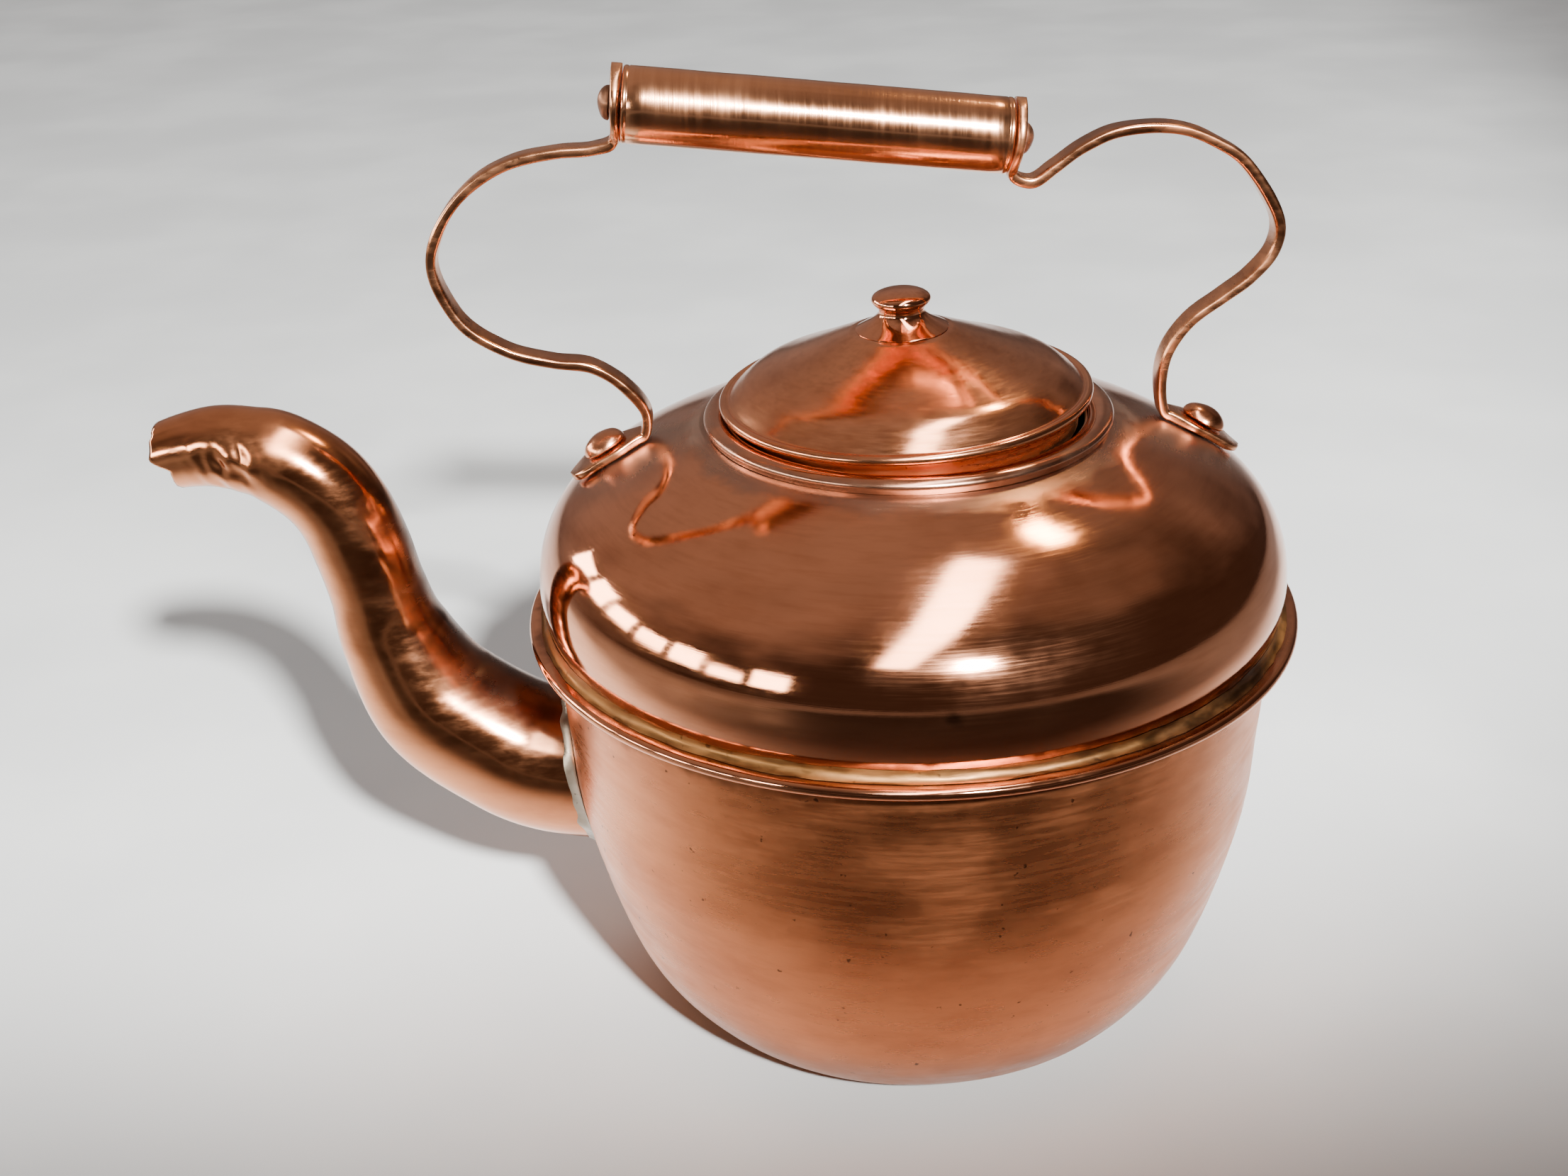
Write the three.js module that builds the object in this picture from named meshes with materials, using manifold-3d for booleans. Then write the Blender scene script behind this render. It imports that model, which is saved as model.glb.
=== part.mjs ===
// A copper kettle with a swan-neck spout, a lift-off lid and a fixed strap handle.
// Millimetres, +Z up. The origin is the centre of the flat base, on the table.
// The spout points along -X. The handle's plane is turned a little about the kettle's axis.
import * as THREE from 'three';
import { mergeVertices } from 'three/addons/utils/BufferGeometryUtils.js';
import Module from 'manifold-3d';

const wasm = await Module();
wasm.setup();

// ---- Driving dimensions ----
const GAP = 0.3; // clearance between pieces that touch
const SHEET = 1.2; // copper sheet of the bowl and the shoulder
const ROUND_SIDES = 40; // facets round the body

const BOWL_RADIUS = 89.1; // bowl at its mouth, under the seam
const BASE_RADIUS = 57; // flat part of the base
const SHOULDER_SWELL = 2.4; // widest part of the shoulder beyond the bowl's mouth
const SHOULDER_RADIUS = BOWL_RADIUS + SHOULDER_SWELL;
const SHOULDER_HEIGHT = 50; // shoulder, from the seam's underside to the neck
const SHOULDER_FOOT = 0.982; // shoulder where it leaves the seam, as a share of its widest
const RIM_WIDTH = 3.5; // how far the seam between bowl and shoulder stands out from the shoulder
const RIM_RADIUS = SHOULDER_RADIUS + RIM_WIDTH;
const RIM_HEIGHT = 106; // underside of that seam above the table
const RIM_LIP = 1.2; // thickness of the lip that the shoulder folds over the bowl's flange
const BODY_HEIGHT = RIM_HEIGHT + SHOULDER_HEIGHT;

const NECK_RADIUS = 42.5; // opening in the shoulder
const COLLAR_BORE = NECK_RADIUS + 0.5; // neck ring, inside
const COLLAR_WIDTH = 6;
const COLLAR_RADIUS = COLLAR_BORE + COLLAR_WIDTH;
const COLLAR_HEIGHT = 3.3; // neck ring, above the shoulder at its outer foot
const COLLAR_FOOT = COLLAR_RADIUS - 0.6; // where the ring's rounded outside meets the shoulder

const LID_OVERHANG = 1.6; // rolled edge of the lid beyond the neck ring's bore
const LID_RADIUS = COLLAR_BORE + LID_OVERHANG;
const LID_SHEET = 1;
const LID_BEAD = 1.2; // radius of the rolled edge
const LID_RISE = 18.3; // crown of the lid above the underside of its edge
const LID_SHIFT = -0.5; // the lid sits a little towards the spout
const LID_TURN_X = THREE.MathUtils.degToRad(0.6); // the lid lies askew
const LID_TURN_Y = THREE.MathUtils.degToRad(-1.8);
// The middle of the lid's edge above the neck ring: its lowest side just clears the ring.
const LID_SEAT = GAP + LID_RADIUS * Math.hypot(LID_TURN_X, LID_TURN_Y) + 0.15;
const BEZEL_CLEARANCE = 1.5; // between the neck and the locating ring under the lid
const BEZEL_RADIUS = NECK_RADIUS - BEZEL_CLEARANCE;
const BEZEL_DEPTH = 7;
const BEZEL_WALL = 0.9;
const KNOB_RADIUS = 7;
const KNOB_HEIGHT = 8.2; // knob above the lid's crown
const KNOB_FOOT = 11;
const KNOB_FOOT_RISE = 0.935; // lid's height under the edge of the knob's foot, as a share of its rise
const KNOB_SPIGOT = 2.6;

const SPOUT_WALL = 1.2;
const SPOUT_ROOT_RADIUS = 19.6;
const SPOUT_NECK_RADIUS = 12.2;
const SPOUT_MOUTH_RADIUS = 9.1;
const SPOUT_LENGTH = 97.4; // tip of the spout beyond the bowl
const SPOUT_REACH = BOWL_RADIUS + SPOUT_LENGTH;
const SPOUT_ROOT_DROP = 47; // middle of the spout where it leaves the bowl, below the seam
const SPOUT_ROOT_HEIGHT = RIM_HEIGHT - SPOUT_ROOT_DROP;
const SPOUT_MOUTH_DROP = 7; // middle of the mouth below the neck
const SPOUT_MOUTH_HEIGHT = BODY_HEIGHT - SPOUT_MOUTH_DROP;
const SPOUT_HOOD = 5.5; // how far the upper lip overhangs the lower one
const SOLDER_WIDTH = 3;

const HANDLE_TURN = 5; // degrees, handle plane about the kettle's axis
const HANDLE_OFFSET = 7.8; // handle plane behind the kettle's axis
const FOOT_INSET = 19.5; // rivets in from the shoulder's widest part
const FOOT_REACH = SHOULDER_RADIUS - FOOT_INSET;
const STRAP_WIDTH = 7;
const STRAP_THICKNESS = 2.6;
const FOOT_WIDTH = 13;
const FOOT_LENGTH = 10.5; // foot beyond its rivet

const GRIP_RADIUS = 8.7;
const GRIP_LENGTH = 89;
const GRIP_WALL = 1;
const GRIP_TILT = 7; // degrees, down towards the right
const GRIP_RISE = 69.4; // middle of the grip above the neck
const GRIP_HEIGHT = BODY_HEIGHT + GRIP_RISE;
const GRIP_SHIFT = -19.5; // middle of the grip from the kettle's axis
const DISC_RADIUS = GRIP_RADIUS + 0.3;
const DISC_THICKNESS = STRAP_THICKNESS - 0.2; // hammered a little thinner than the strap
const ROD_RADIUS = 2.4;
const ROD_HEAD_RADIUS = ROD_RADIUS + 1.4;
const ROD_HEAD_HEIGHT = 2.7;

const RIVET_RADIUS = 2.4;
const RIVET_HEAD_RADIUS = RIVET_RADIUS + 3.2;
const RIVET_HEAD_HEIGHT = 3.8;
const BURR_RADIUS = RIVET_RADIUS + 3.6; // washers that the rivets' and the knob's tails close on
const BURR_THICKNESS = 1.2;

const COPPER = { color: 0xb4694a, roughness: 0.22, metalness: 1 };
const SATIN_COPPER = { color: 0xb06a4c, roughness: 0.38, metalness: 1 };
const STRAP_COPPER = { color: 0x9a6142, roughness: 0.32, metalness: 1 };
const SOLDER = { color: 0xb9a47c, roughness: 0.4, metalness: 1 };
const TIN_SOLDER = { color: 0xb7b2a8, roughness: 0.42, metalness: 1 };
const IRON = { color: 0x5b4436, roughness: 0.45, metalness: 1 };

// ---- Shape helpers ----

// A closed mesh with its normals and uvs dropped, so that equal corners become one.
function weld(geometry) {
  const bare = geometry.clone();
  bare.deleteAttribute('normal');
  bare.deleteAttribute('uv');
  return mergeVertices(bare, 1e-4);
}

function solid(geometry) {
  const welded = weld(geometry);
  const vertProperties = new Float32Array(welded.attributes.position.array);
  const triVerts = new Uint32Array(welded.index.array);
  return new wasm.Manifold(new wasm.Mesh({ numProp: 3, vertProperties, triVerts }));
}

function geometryOf(manifold) {
  const mesh = manifold.getMesh();
  const geometry = new THREE.BufferGeometry();
  geometry.setAttribute('position', new THREE.BufferAttribute(mesh.vertProperties, 3));
  geometry.setIndex(new THREE.BufferAttribute(mesh.triVerts, 1));
  geometry.computeVertexNormals();
  return geometry;
}

// A solid of revolution about Z. The outline runs up its outer side, as [radius, height] pairs.
function revolve(outline, sides) {
  const points = outline.map(([radius, height]) => new THREE.Vector2(radius, height));
  const geometry = new THREE.LatheGeometry(points, sides);
  geometry.rotateX(Math.PI / 2);
  return geometry;
}

// Points of a smooth curve through a few [radius, height] pairs.
function smooth(pairs, steps) {
  const curve = new THREE.SplineCurve(pairs.map(([x, y]) => new THREE.Vector2(x, y)));
  return curve.getPoints(steps).map((point) => [point.x, point.y]);
}

// The same outline moved sideways: a positive distance is to the right of its direction.
function offset(outline, distance) {
  return outline.map(([x, y], index) => {
    const before = outline[Math.max(index - 1, 0)];
    const after = outline[Math.min(index + 1, outline.length - 1)];
    const length = Math.hypot(after[0] - before[0], after[1] - before[1]);
    const right = [(after[1] - before[1]) / length, -(after[0] - before[0]) / length];
    return [x + right[0] * distance, y + right[1] * distance];
  });
}

function arc(centre, radius, from, to, steps) {
  const points = [];
  for (let step = 0; step <= steps; step += 1) {
    const angle = THREE.MathUtils.degToRad(from + ((to - from) * step) / steps);
    points.push([centre[0] + radius * Math.cos(angle), centre[1] + radius * Math.sin(angle)]);
  }
  return points;
}

function heightAt(outline, radius) {
  for (let index = 1; index < outline.length; index += 1) {
    const [r0, z0] = outline[index - 1];
    const [r1, z1] = outline[index];
    if ((r0 - radius) * (r1 - radius) <= 0 && r0 !== r1) {
      return z0 + ((z1 - z0) * (radius - r0)) / (r1 - r0);
    }
  }
  throw new Error(`no height at radius ${radius}`);
}

function radiusAt(outline, height) {
  return heightAt(outline.map(([radius, z]) => [z, radius]), height);
}

function cylinder(radius, length, sides) {
  const geometry = new THREE.CylinderGeometry(radius, radius, length, sides);
  geometry.rotateX(Math.PI / 2);
  return geometry;
}

// Turns a shape that stands on the origin along +Z so that it stands at a point along a direction.
function placed(geometry, point, direction) {
  const turn = new THREE.Quaternion().setFromUnitVectors(new THREE.Vector3(0, 0, 1), direction);
  geometry.applyQuaternion(turn);
  geometry.translate(point.x, point.y, point.z);
  return geometry;
}

// ---- Body outlines ----

const BOWL_OUTLINE = smooth(
  [
    [BASE_RADIUS, 0],
    [BOWL_RADIUS * 0.751, RIM_HEIGHT * 0.077],
    [BOWL_RADIUS * 0.862, RIM_HEIGHT * 0.231],
    [BOWL_RADIUS * 0.96, RIM_HEIGHT * 0.539],
    [BOWL_RADIUS * 0.983, RIM_HEIGHT * 0.77],
    [BOWL_RADIUS, RIM_HEIGHT],
  ],
  10,
);

const LIP_TOP = RIM_HEIGHT + SHEET + GAP + SHEET; // top of the folded seam

const SHOULDER_OUTLINE = smooth(
  [
    [SHOULDER_RADIUS * SHOULDER_FOOT, LIP_TOP],
    [SHOULDER_RADIUS, RIM_HEIGHT + SHOULDER_HEIGHT * 0.26],
    [SHOULDER_RADIUS * 0.978, RIM_HEIGHT + SHOULDER_HEIGHT * 0.458],
    [SHOULDER_RADIUS * 0.908, RIM_HEIGHT + SHOULDER_HEIGHT * 0.642],
    [SHOULDER_RADIUS * 0.757, RIM_HEIGHT + SHOULDER_HEIGHT * 0.824],
    [NECK_RADIUS + 9, RIM_HEIGHT + SHOULDER_HEIGHT * 0.965],
    [NECK_RADIUS, RIM_HEIGHT + SHOULDER_HEIGHT * 1.02],
  ],
  11,
);

// ---- Bowl, shoulder and the seam between them ----

function bowlSolid(growth) {
  const outline = offset(BOWL_OUTLINE, growth);
  const foot = [0, -growth];
  return solid(revolve([foot, ...outline, [0, RIM_HEIGHT]], ROUND_SIDES));
}

function bowl(spoutBore) {
  const flangeRadius = RIM_RADIUS - RIM_LIP - GAP;
  const inside = offset(BOWL_OUTLINE, -SHEET)
    .filter(([, z]) => z > SHEET * 1.5)
    .reverse();
  const outline = [
    [0, 0],
    ...BOWL_OUTLINE,
    [flangeRadius, RIM_HEIGHT],
    [flangeRadius, RIM_HEIGHT + SHEET],
    [BOWL_RADIUS - SHEET, RIM_HEIGHT + SHEET],
    ...inside.slice(1),
    [BASE_RADIUS - SHEET, SHEET],
    [0, SHEET],
  ];
  return geometryOf(solid(revolve(outline, ROUND_SIDES)).subtract(spoutBore));
}

function shoulder(rivetHoles) {
  const seamUnderside = RIM_HEIGHT + SHEET + GAP;
  const inside = offset(SHOULDER_OUTLINE, -SHEET).reverse();
  const outline = [
    [RIM_RADIUS - RIM_LIP, seamUnderside],
    [RIM_RADIUS - RIM_LIP, RIM_HEIGHT],
    [RIM_RADIUS - RIM_LIP * 0.35, RIM_HEIGHT],
    [RIM_RADIUS, RIM_HEIGHT + RIM_LIP * 0.6],
    [RIM_RADIUS, LIP_TOP - SHEET * 0.6],
    [RIM_RADIUS - SHEET * 0.5, LIP_TOP],
    ...SHOULDER_OUTLINE,
    ...inside.slice(0, -1),
    [SHOULDER_RADIUS * SHOULDER_FOOT - SHEET, seamUnderside],
    [RIM_RADIUS - RIM_LIP, seamUnderside],
  ];
  let body = solid(revolve(outline, ROUND_SIDES));
  for (const hole of rivetHoles) {
    body = body.subtract(hole);
  }
  return geometryOf(body);
}

// Brazing metal run into the corner between the seam and the shoulder.
function rimSolder() {
  const width = RIM_WIDTH * 0.55;
  const foot = LIP_TOP + GAP;
  const top = foot + width * 1.2;
  const wall = (height) => radiusAt(SHOULDER_OUTLINE, height) + GAP;
  const outline = [
    [wall(foot), foot],
    [wall(foot) + width, foot],
    [wall(foot) + width * 0.5, foot + width * 0.3],
    [wall(top) + width * 0.14, top],
    [wall(top), top],
    [wall(foot), foot],
  ];
  return revolve(outline, ROUND_SIDES);
}

function neckCollar() {
  const foot = heightAt(SHOULDER_OUTLINE, COLLAR_FOOT) + GAP;
  const half = COLLAR_WIDTH / 2;
  const middle = foot + COLLAR_HEIGHT / 2;
  const squash = COLLAR_HEIGHT / 2 / half;
  const crown = arc([COLLAR_BORE + half, 0], half, -20, 160, 7).map(([r, z]) => [r, middle + z * squash]);
  const innerFoot = [COLLAR_BORE, heightAt(SHOULDER_OUTLINE, COLLAR_BORE) + GAP * 1.5];
  const innerTop = [COLLAR_BORE, foot + COLLAR_HEIGHT * 0.55];
  return revolve([innerFoot, [COLLAR_FOOT, foot], ...crown, innerTop, innerFoot], ROUND_SIDES);
}

const COLLAR_TOP = heightAt(SHOULDER_OUTLINE, COLLAR_FOOT) + GAP + COLLAR_HEIGHT;

// ---- Lid, in its own frame: Z = 0 is the underside of its rolled edge ----

const LID_OUTLINE = smooth(
  [
    [LID_RADIUS - LID_BEAD * 1.9, LID_BEAD * 1.8],
    [LID_RADIUS * 0.89, LID_RISE * 0.262],
    [LID_RADIUS * 0.65, LID_RISE * 0.541],
    [LID_RADIUS * 0.336, LID_RISE * 0.858],
    [KNOB_FOOT, LID_RISE * KNOB_FOOT_RISE],
    [KNOB_SPIGOT + GAP, LID_RISE],
  ],
  7,
);

const LID_UNDERSIDE = offset(LID_OUTLINE, -LID_SHEET);
const KNOB_BURR_TOP = heightAt(LID_UNDERSIDE, BURR_RADIUS) - GAP; // its washer clears the curved lid

function lidDome() {
  const bead = arc([LID_RADIUS - LID_BEAD, LID_BEAD], LID_BEAD, -100, 110, 6);
  const outline = [...bead, ...LID_OUTLINE, ...LID_UNDERSIDE.toReversed(), bead[0]];
  outline[outline.length - 2] = [LID_RADIUS - LID_BEAD * 2.2, LID_BEAD * 0.6];
  return revolve(outline, ROUND_SIDES);
}

function lidBezel() {
  const top = heightAt(LID_UNDERSIDE, BEZEL_RADIUS) - GAP;
  const inner = BEZEL_RADIUS - BEZEL_WALL;
  const outline = [
    [inner, -BEZEL_DEPTH],
    [BEZEL_RADIUS - 0.3, -BEZEL_DEPTH],
    [BEZEL_RADIUS, -BEZEL_DEPTH + 1],
    [BEZEL_RADIUS, top],
    [inner, top],
    [inner, -BEZEL_DEPTH],
  ];
  return revolve(outline, ROUND_SIDES);
}

function lidKnob() {
  const foot = LID_RISE * KNOB_FOOT_RISE + GAP;
  const top = LID_RISE + KNOB_HEIGHT;
  const crown = LID_RISE + GAP;
  const tail = KNOB_BURR_TOP - BURR_THICKNESS - GAP;
  const side = smooth(
    [
      [KNOB_FOOT, foot + 0.3],
      [KNOB_RADIUS * 1.02, LID_RISE + KNOB_HEIGHT * 0.13],
      [KNOB_RADIUS * 0.8, LID_RISE + KNOB_HEIGHT * 0.32],
      [KNOB_RADIUS * 0.9, LID_RISE + KNOB_HEIGHT * 0.52],
      [KNOB_RADIUS, LID_RISE + KNOB_HEIGHT * 0.8],
      [KNOB_RADIUS * 0.82, LID_RISE + KNOB_HEIGHT * 0.95],
      [0, top],
    ],
    12,
  );
  const outline = [
    [0, tail - 1.4],
    [KNOB_SPIGOT + 1.2, tail - 1.2],
    [KNOB_SPIGOT + 1.2, tail],
    [KNOB_SPIGOT, tail],
    [KNOB_SPIGOT, crown],
    [KNOB_FOOT, foot],
    ...side,
  ];
  outline[outline.length - 1] = [0, top];
  return revolve(outline, 20);
}

function washer(bore, radius, thickness) {
  const outline = [
    [bore, 0],
    [radius, 0],
    [radius, thickness],
    [bore, thickness],
    [bore, 0],
  ];
  return revolve(outline, 16);
}

// ---- Spout: one radius per point of a centre line in the XZ plane ----

const SPOUT_STATIONS = [
  // x as a share of the reach, height as a share of the rise, radius
  [0.38, -0.015, SPOUT_ROOT_RADIUS * 1.02],
  [0.499, 0.01, SPOUT_ROOT_RADIUS],
  [0.575, 0.075, SPOUT_ROOT_RADIUS * 0.957],
  [0.66, 0.217, SPOUT_ROOT_RADIUS * 0.9],
  [0.707, 0.42, SPOUT_NECK_RADIUS * 1.17],
  [0.723, 0.567, SPOUT_NECK_RADIUS * 1.01],
  [0.737, 0.702, SPOUT_NECK_RADIUS],
  [0.755, 0.816, SPOUT_NECK_RADIUS * 0.985],
  [0.785, 0.905, SPOUT_NECK_RADIUS * 0.98],
  [0.833, 0.975, SPOUT_NECK_RADIUS * 0.95],
  [0.87, 0.998, SPOUT_NECK_RADIUS * 0.89],
  [0.91, 1.01, SPOUT_MOUTH_RADIUS * 1.12],
  [0.952, 1.0, SPOUT_MOUTH_RADIUS * 1.02],
  [1.0, 0.975, SPOUT_MOUTH_RADIUS * 0.9],
];

function spoutSolid(growth, overrun) {
  const rise = SPOUT_MOUTH_HEIGHT - SPOUT_ROOT_HEIGHT;
  const centres = SPOUT_STATIONS.map(
    ([reach, lift]) => new THREE.Vector3(-SPOUT_REACH * reach, 0, SPOUT_ROOT_HEIGHT + rise * lift),
  );
  const path = new THREE.CatmullRomCurve3(centres, false, 'centripetal');
  const radii = new THREE.SplineCurve(
    SPOUT_STATIONS.map(([, , radius], index) => new THREE.Vector2(index, radius)),
  );
  const steps = 17;
  const sides = 18;
  const outline = [[0, -overrun]];
  for (let step = 0; step <= steps; step += 1) {
    outline.push([radii.getPoint(step / steps).y + growth, step === 0 ? -overrun : step]);
  }
  outline[outline.length - 1][1] = steps + overrun;
  outline.push([0, steps + overrun]);
  const geometry = revolve(outline, sides);
  const place = geometry.attributes.position;
  const side = new THREE.Vector3(0, 1, 0);
  for (let index = 0; index < place.count; index += 1) {
    const along = THREE.MathUtils.clamp(place.getZ(index) / steps, 0, 1);
    const beyond = place.getZ(index) - along * steps;
    const tangent = path.getTangent(along);
    const across = new THREE.Vector3().crossVectors(side, tangent);
    const point = path
      .getPoint(along)
      .addScaledVector(across, place.getX(index))
      .addScaledVector(side, place.getY(index))
      .addScaledVector(tangent, beyond);
    place.setXYZ(index, point.x, point.y, point.z);
  }
  return solid(geometry);
}

// The side view of what is cut from the mouth: a step leaves the upper lip as a hood.
function mouthCutter() {
  const lip = -SPOUT_REACH + SPOUT_HOOD;
  const low = SPOUT_MOUTH_HEIGHT - SPOUT_NECK_RADIUS * 2;
  const middle = SPOUT_MOUTH_HEIGHT - 3;
  const tip = -SPOUT_REACH;
  const away = tip - 30;
  const high = middle + SPOUT_NECK_RADIUS;
  const shape = new THREE.Shape();
  shape.moveTo(lip, low);
  shape.lineTo(lip + 0.6, middle - 3);
  shape.bezierCurveTo(lip, middle + 1, tip + 1.5, middle - 1, tip + 1, middle + 4);
  shape.lineTo(tip, high);
  shape.lineTo(away, high);
  shape.lineTo(away, low);
  const width = SPOUT_NECK_RADIUS * 4;
  const geometry = new THREE.ExtrudeGeometry(shape, {
    depth: width,
    bevelEnabled: false,
    curveSegments: 6,
  });
  geometry.rotateX(Math.PI / 2);
  geometry.translate(0, width / 2, 0);
  return solid(geometry);
}

const spoutOutside = spoutSolid(0, 0);
const spoutBore = spoutSolid(-SPOUT_WALL, 4);

function spout() {
  return geometryOf(spoutOutside.subtract(spoutBore).subtract(bowlSolid(GAP)).subtract(mouthCutter()));
}

function spoutSolder() {
  const band = spoutSolid(SOLDER_WIDTH * 0.6, 0).intersect(bowlSolid(GAP + SOLDER_WIDTH));
  return geometryOf(band.subtract(spoutSolid(GAP, 4)).subtract(bowlSolid(GAP)));
}

// ---- Handle, in its own frame: the kettle's axis is Z, the handle plane is Y = HANDLE_OFFSET ----

const gripDirection = new THREE.Vector3(
  Math.cos(THREE.MathUtils.degToRad(GRIP_TILT)),
  0,
  -Math.sin(THREE.MathUtils.degToRad(GRIP_TILT)),
);
const gripCentre = new THREE.Vector3(GRIP_SHIFT, HANDLE_OFFSET, GRIP_HEIGHT);

// One end of the grip: hand is -1 at the spout's side and 1 at the other.
function gripEnd(hand, beyond) {
  return gripCentre.clone().addScaledVector(gripDirection, hand * (GRIP_LENGTH / 2 + beyond));
}

// Where a foot rests on the shoulder: the point, the way out of the surface and the way outwards.
function footFrame(hand) {
  const azimuth = Math.atan2(HANDLE_OFFSET, hand * FOOT_REACH);
  const radius = Math.hypot(HANDLE_OFFSET, FOOT_REACH);
  const height = heightAt(SHOULDER_OUTLINE, radius);
  const step = 2;
  const slope = heightAt(SHOULDER_OUTLINE, radius - step) - heightAt(SHOULDER_OUTLINE, radius + step);
  const outX = Math.cos(azimuth);
  const outY = Math.sin(azimuth);
  const normal = new THREE.Vector3(slope * outX, slope * outY, 2 * step).normalize();
  const point = new THREE.Vector3(radius * outX, radius * outY, height);
  const outwards = new THREE.Vector3(hand, 0, 0).projectOnPlane(normal).normalize();
  return { point, normal, outwards };
}

// Bends of each arm as [outwards, up] steps: from the disc's lower edge, then from the rivet.
const LEFT_BENDS = {
  upper: [[4.6, -1.5], [13.5, -2], [24.9, -4.2], [35.1, -10.3], [42.3, -19.7], [44.4, -28]],
  lower: [[32.4, 34.4], [22.5, 27.2], [11.5, 23.8], [2.5, 22.3], [-5.2, 16.8], [-9.8, 9.9]],
};
const RIGHT_BENDS = {
  upper: [[4.6, -2], [10, 1.2], [16, 5.4], [23.3, 8.6], [31.3, 9.5], [39.3, 8.6], [47, 5.4], [54, 0.6]],
  lower: [[15.2, 51], [14.6, 44], [9.9, 38], [3.4, 33], [-4.2, 27.3], [-9.4, 19.2], [-10.4, 11.2]],
};

function strapSection() {
  const w = STRAP_WIDTH / 2;
  const t = STRAP_THICKNESS / 2;
  const corner = t * 0.7;
  const shape = new THREE.Shape();
  shape.moveTo(w - corner, -t);
  shape.lineTo(w, -t + corner);
  shape.lineTo(w, t - corner);
  shape.lineTo(w - corner, t);
  shape.lineTo(-w + corner, t);
  shape.lineTo(-w, t - corner);
  shape.lineTo(-w, -t + corner);
  shape.lineTo(-w + corner, -t);
  return shape;
}

// The tongue that lies on the shoulder, drawn along +X from its inner end to its round tip.
function footPlate(frame) {
  const half = FOOT_WIDTH / 2;
  const shape = new THREE.Shape();
  shape.moveTo(-11.5, -STRAP_WIDTH / 2);
  shape.quadraticCurveTo(-6, -half, 0, -half);
  shape.quadraticCurveTo(FOOT_LENGTH, -half, FOOT_LENGTH, 0);
  shape.quadraticCurveTo(FOOT_LENGTH, half, 0, half);
  shape.quadraticCurveTo(-6, half, -11.5, STRAP_WIDTH / 2);
  const plate = new THREE.ExtrudeGeometry(shape, {
    depth: STRAP_THICKNESS,
    bevelEnabled: false,
    curveSegments: 5,
  });
  const across = new THREE.Vector3().crossVectors(frame.normal, frame.outwards);
  const turn = new THREE.Matrix4().makeBasis(frame.outwards, across, frame.normal);
  turn.setPosition(frame.point.clone().addScaledVector(frame.normal, GAP));
  plate.applyMatrix4(turn);
  return solid(plate);
}

function arm(hand, bends) {
  const frame = footFrame(hand);
  const across = new THREE.Vector3(0, 0, 1).projectOnPlane(gripDirection).normalize();
  const disc = gripEnd(hand, GAP + DISC_THICKNESS / 2);
  const discFoot = disc.clone().addScaledVector(across, -DISC_RADIUS + 0.6);
  const rivet = frame.point.clone().addScaledVector(frame.normal, GAP + STRAP_THICKNESS / 2);
  const from = (start) => ([out, up]) =>
    new THREE.Vector3(start.x + hand * out, HANDLE_OFFSET, start.z + up);
  const route = [
    disc.clone().addScaledVector(across, -DISC_RADIUS / 3),
    discFoot,
    ...bends.upper.map(from(discFoot)),
    ...bends.lower.map(from(rivet)),
    rivet.clone().addScaledVector(frame.outwards, -10.2),
    rivet.clone().addScaledVector(frame.outwards, -7),
  ];
  for (const point of route) {
    point.y = HANDLE_OFFSET;
  }
  const path = new THREE.CatmullRomCurve3(route, false, 'centripetal');
  const strap = new THREE.ExtrudeGeometry(strapSection(), {
    steps: 34,
    bevelEnabled: false,
    extrudePath: path,
  });
  const plate = placed(cylinder(DISC_RADIUS, DISC_THICKNESS, 20), disc, gripDirection);
  const rodHole = placed(cylinder(ROD_RADIUS + GAP, DISC_THICKNESS * 8, 12), disc, gripDirection);
  return geometryOf(
    solid(strap)
      .add(solid(plate))
      .add(footPlate(frame))
      .subtract(solid(rodHole))
      .subtract(gripSpace())
      .subtract(shoulderSpace())
      .subtract(rivetHole(frame)),
  );
}

// The room that the grip needs to turn in.
function gripSpace() {
  const room = cylinder(GRIP_RADIUS + GAP, GRIP_LENGTH + 2 * GAP, 20);
  return solid(placed(room, gripCentre, gripDirection));
}

// The room that the shoulder takes, in the handle's frame.
function shoulderSpace() {
  const outline = offset(SHOULDER_OUTLINE, GAP);
  const foot = [0, outline[0][1]];
  const crown = [0, outline[outline.length - 1][1]];
  return solid(revolve([foot, ...outline, crown], ROUND_SIDES)).rotate([0, 0, -HANDLE_TURN]);
}

function rivetHole(frame) {
  return solid(placed(cylinder(RIVET_RADIUS + GAP, 20, 12), frame.point, frame.normal));
}

// How far a flat washer stands off the inside of the curved shoulder.
const BURR_STANDOFF = SHEET + GAP + 0.7;

function rivet(frame) {
  const base = GAP + STRAP_THICKNESS + GAP;
  const tail = -(BURR_STANDOFF + BURR_THICKNESS + GAP);
  const dome = smooth(
    [
      [RIVET_HEAD_RADIUS, base],
      [RIVET_HEAD_RADIUS * 0.86, base + RIVET_HEAD_HEIGHT * 0.6],
      [RIVET_HEAD_RADIUS * 0.5, base + RIVET_HEAD_HEIGHT * 0.92],
      [0, base + RIVET_HEAD_HEIGHT],
    ],
    6,
  );
  const outline = [
    [0, tail - 1.5],
    [RIVET_RADIUS + 1.5, tail - 1.1],
    [RIVET_RADIUS + 1.5, tail],
    [RIVET_RADIUS, tail],
    [RIVET_RADIUS, base],
    ...dome,
  ];
  outline[outline.length - 1] = [0, base + RIVET_HEAD_HEIGHT];
  return placed(revolve(outline, 16), frame.point, frame.normal);
}

function rivetBurr(frame) {
  const burr = washer(RIVET_RADIUS + GAP, BURR_RADIUS, BURR_THICKNESS);
  burr.translate(0, 0, -(BURR_STANDOFF + BURR_THICKNESS));
  return placed(burr, frame.point, frame.normal);
}

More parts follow.
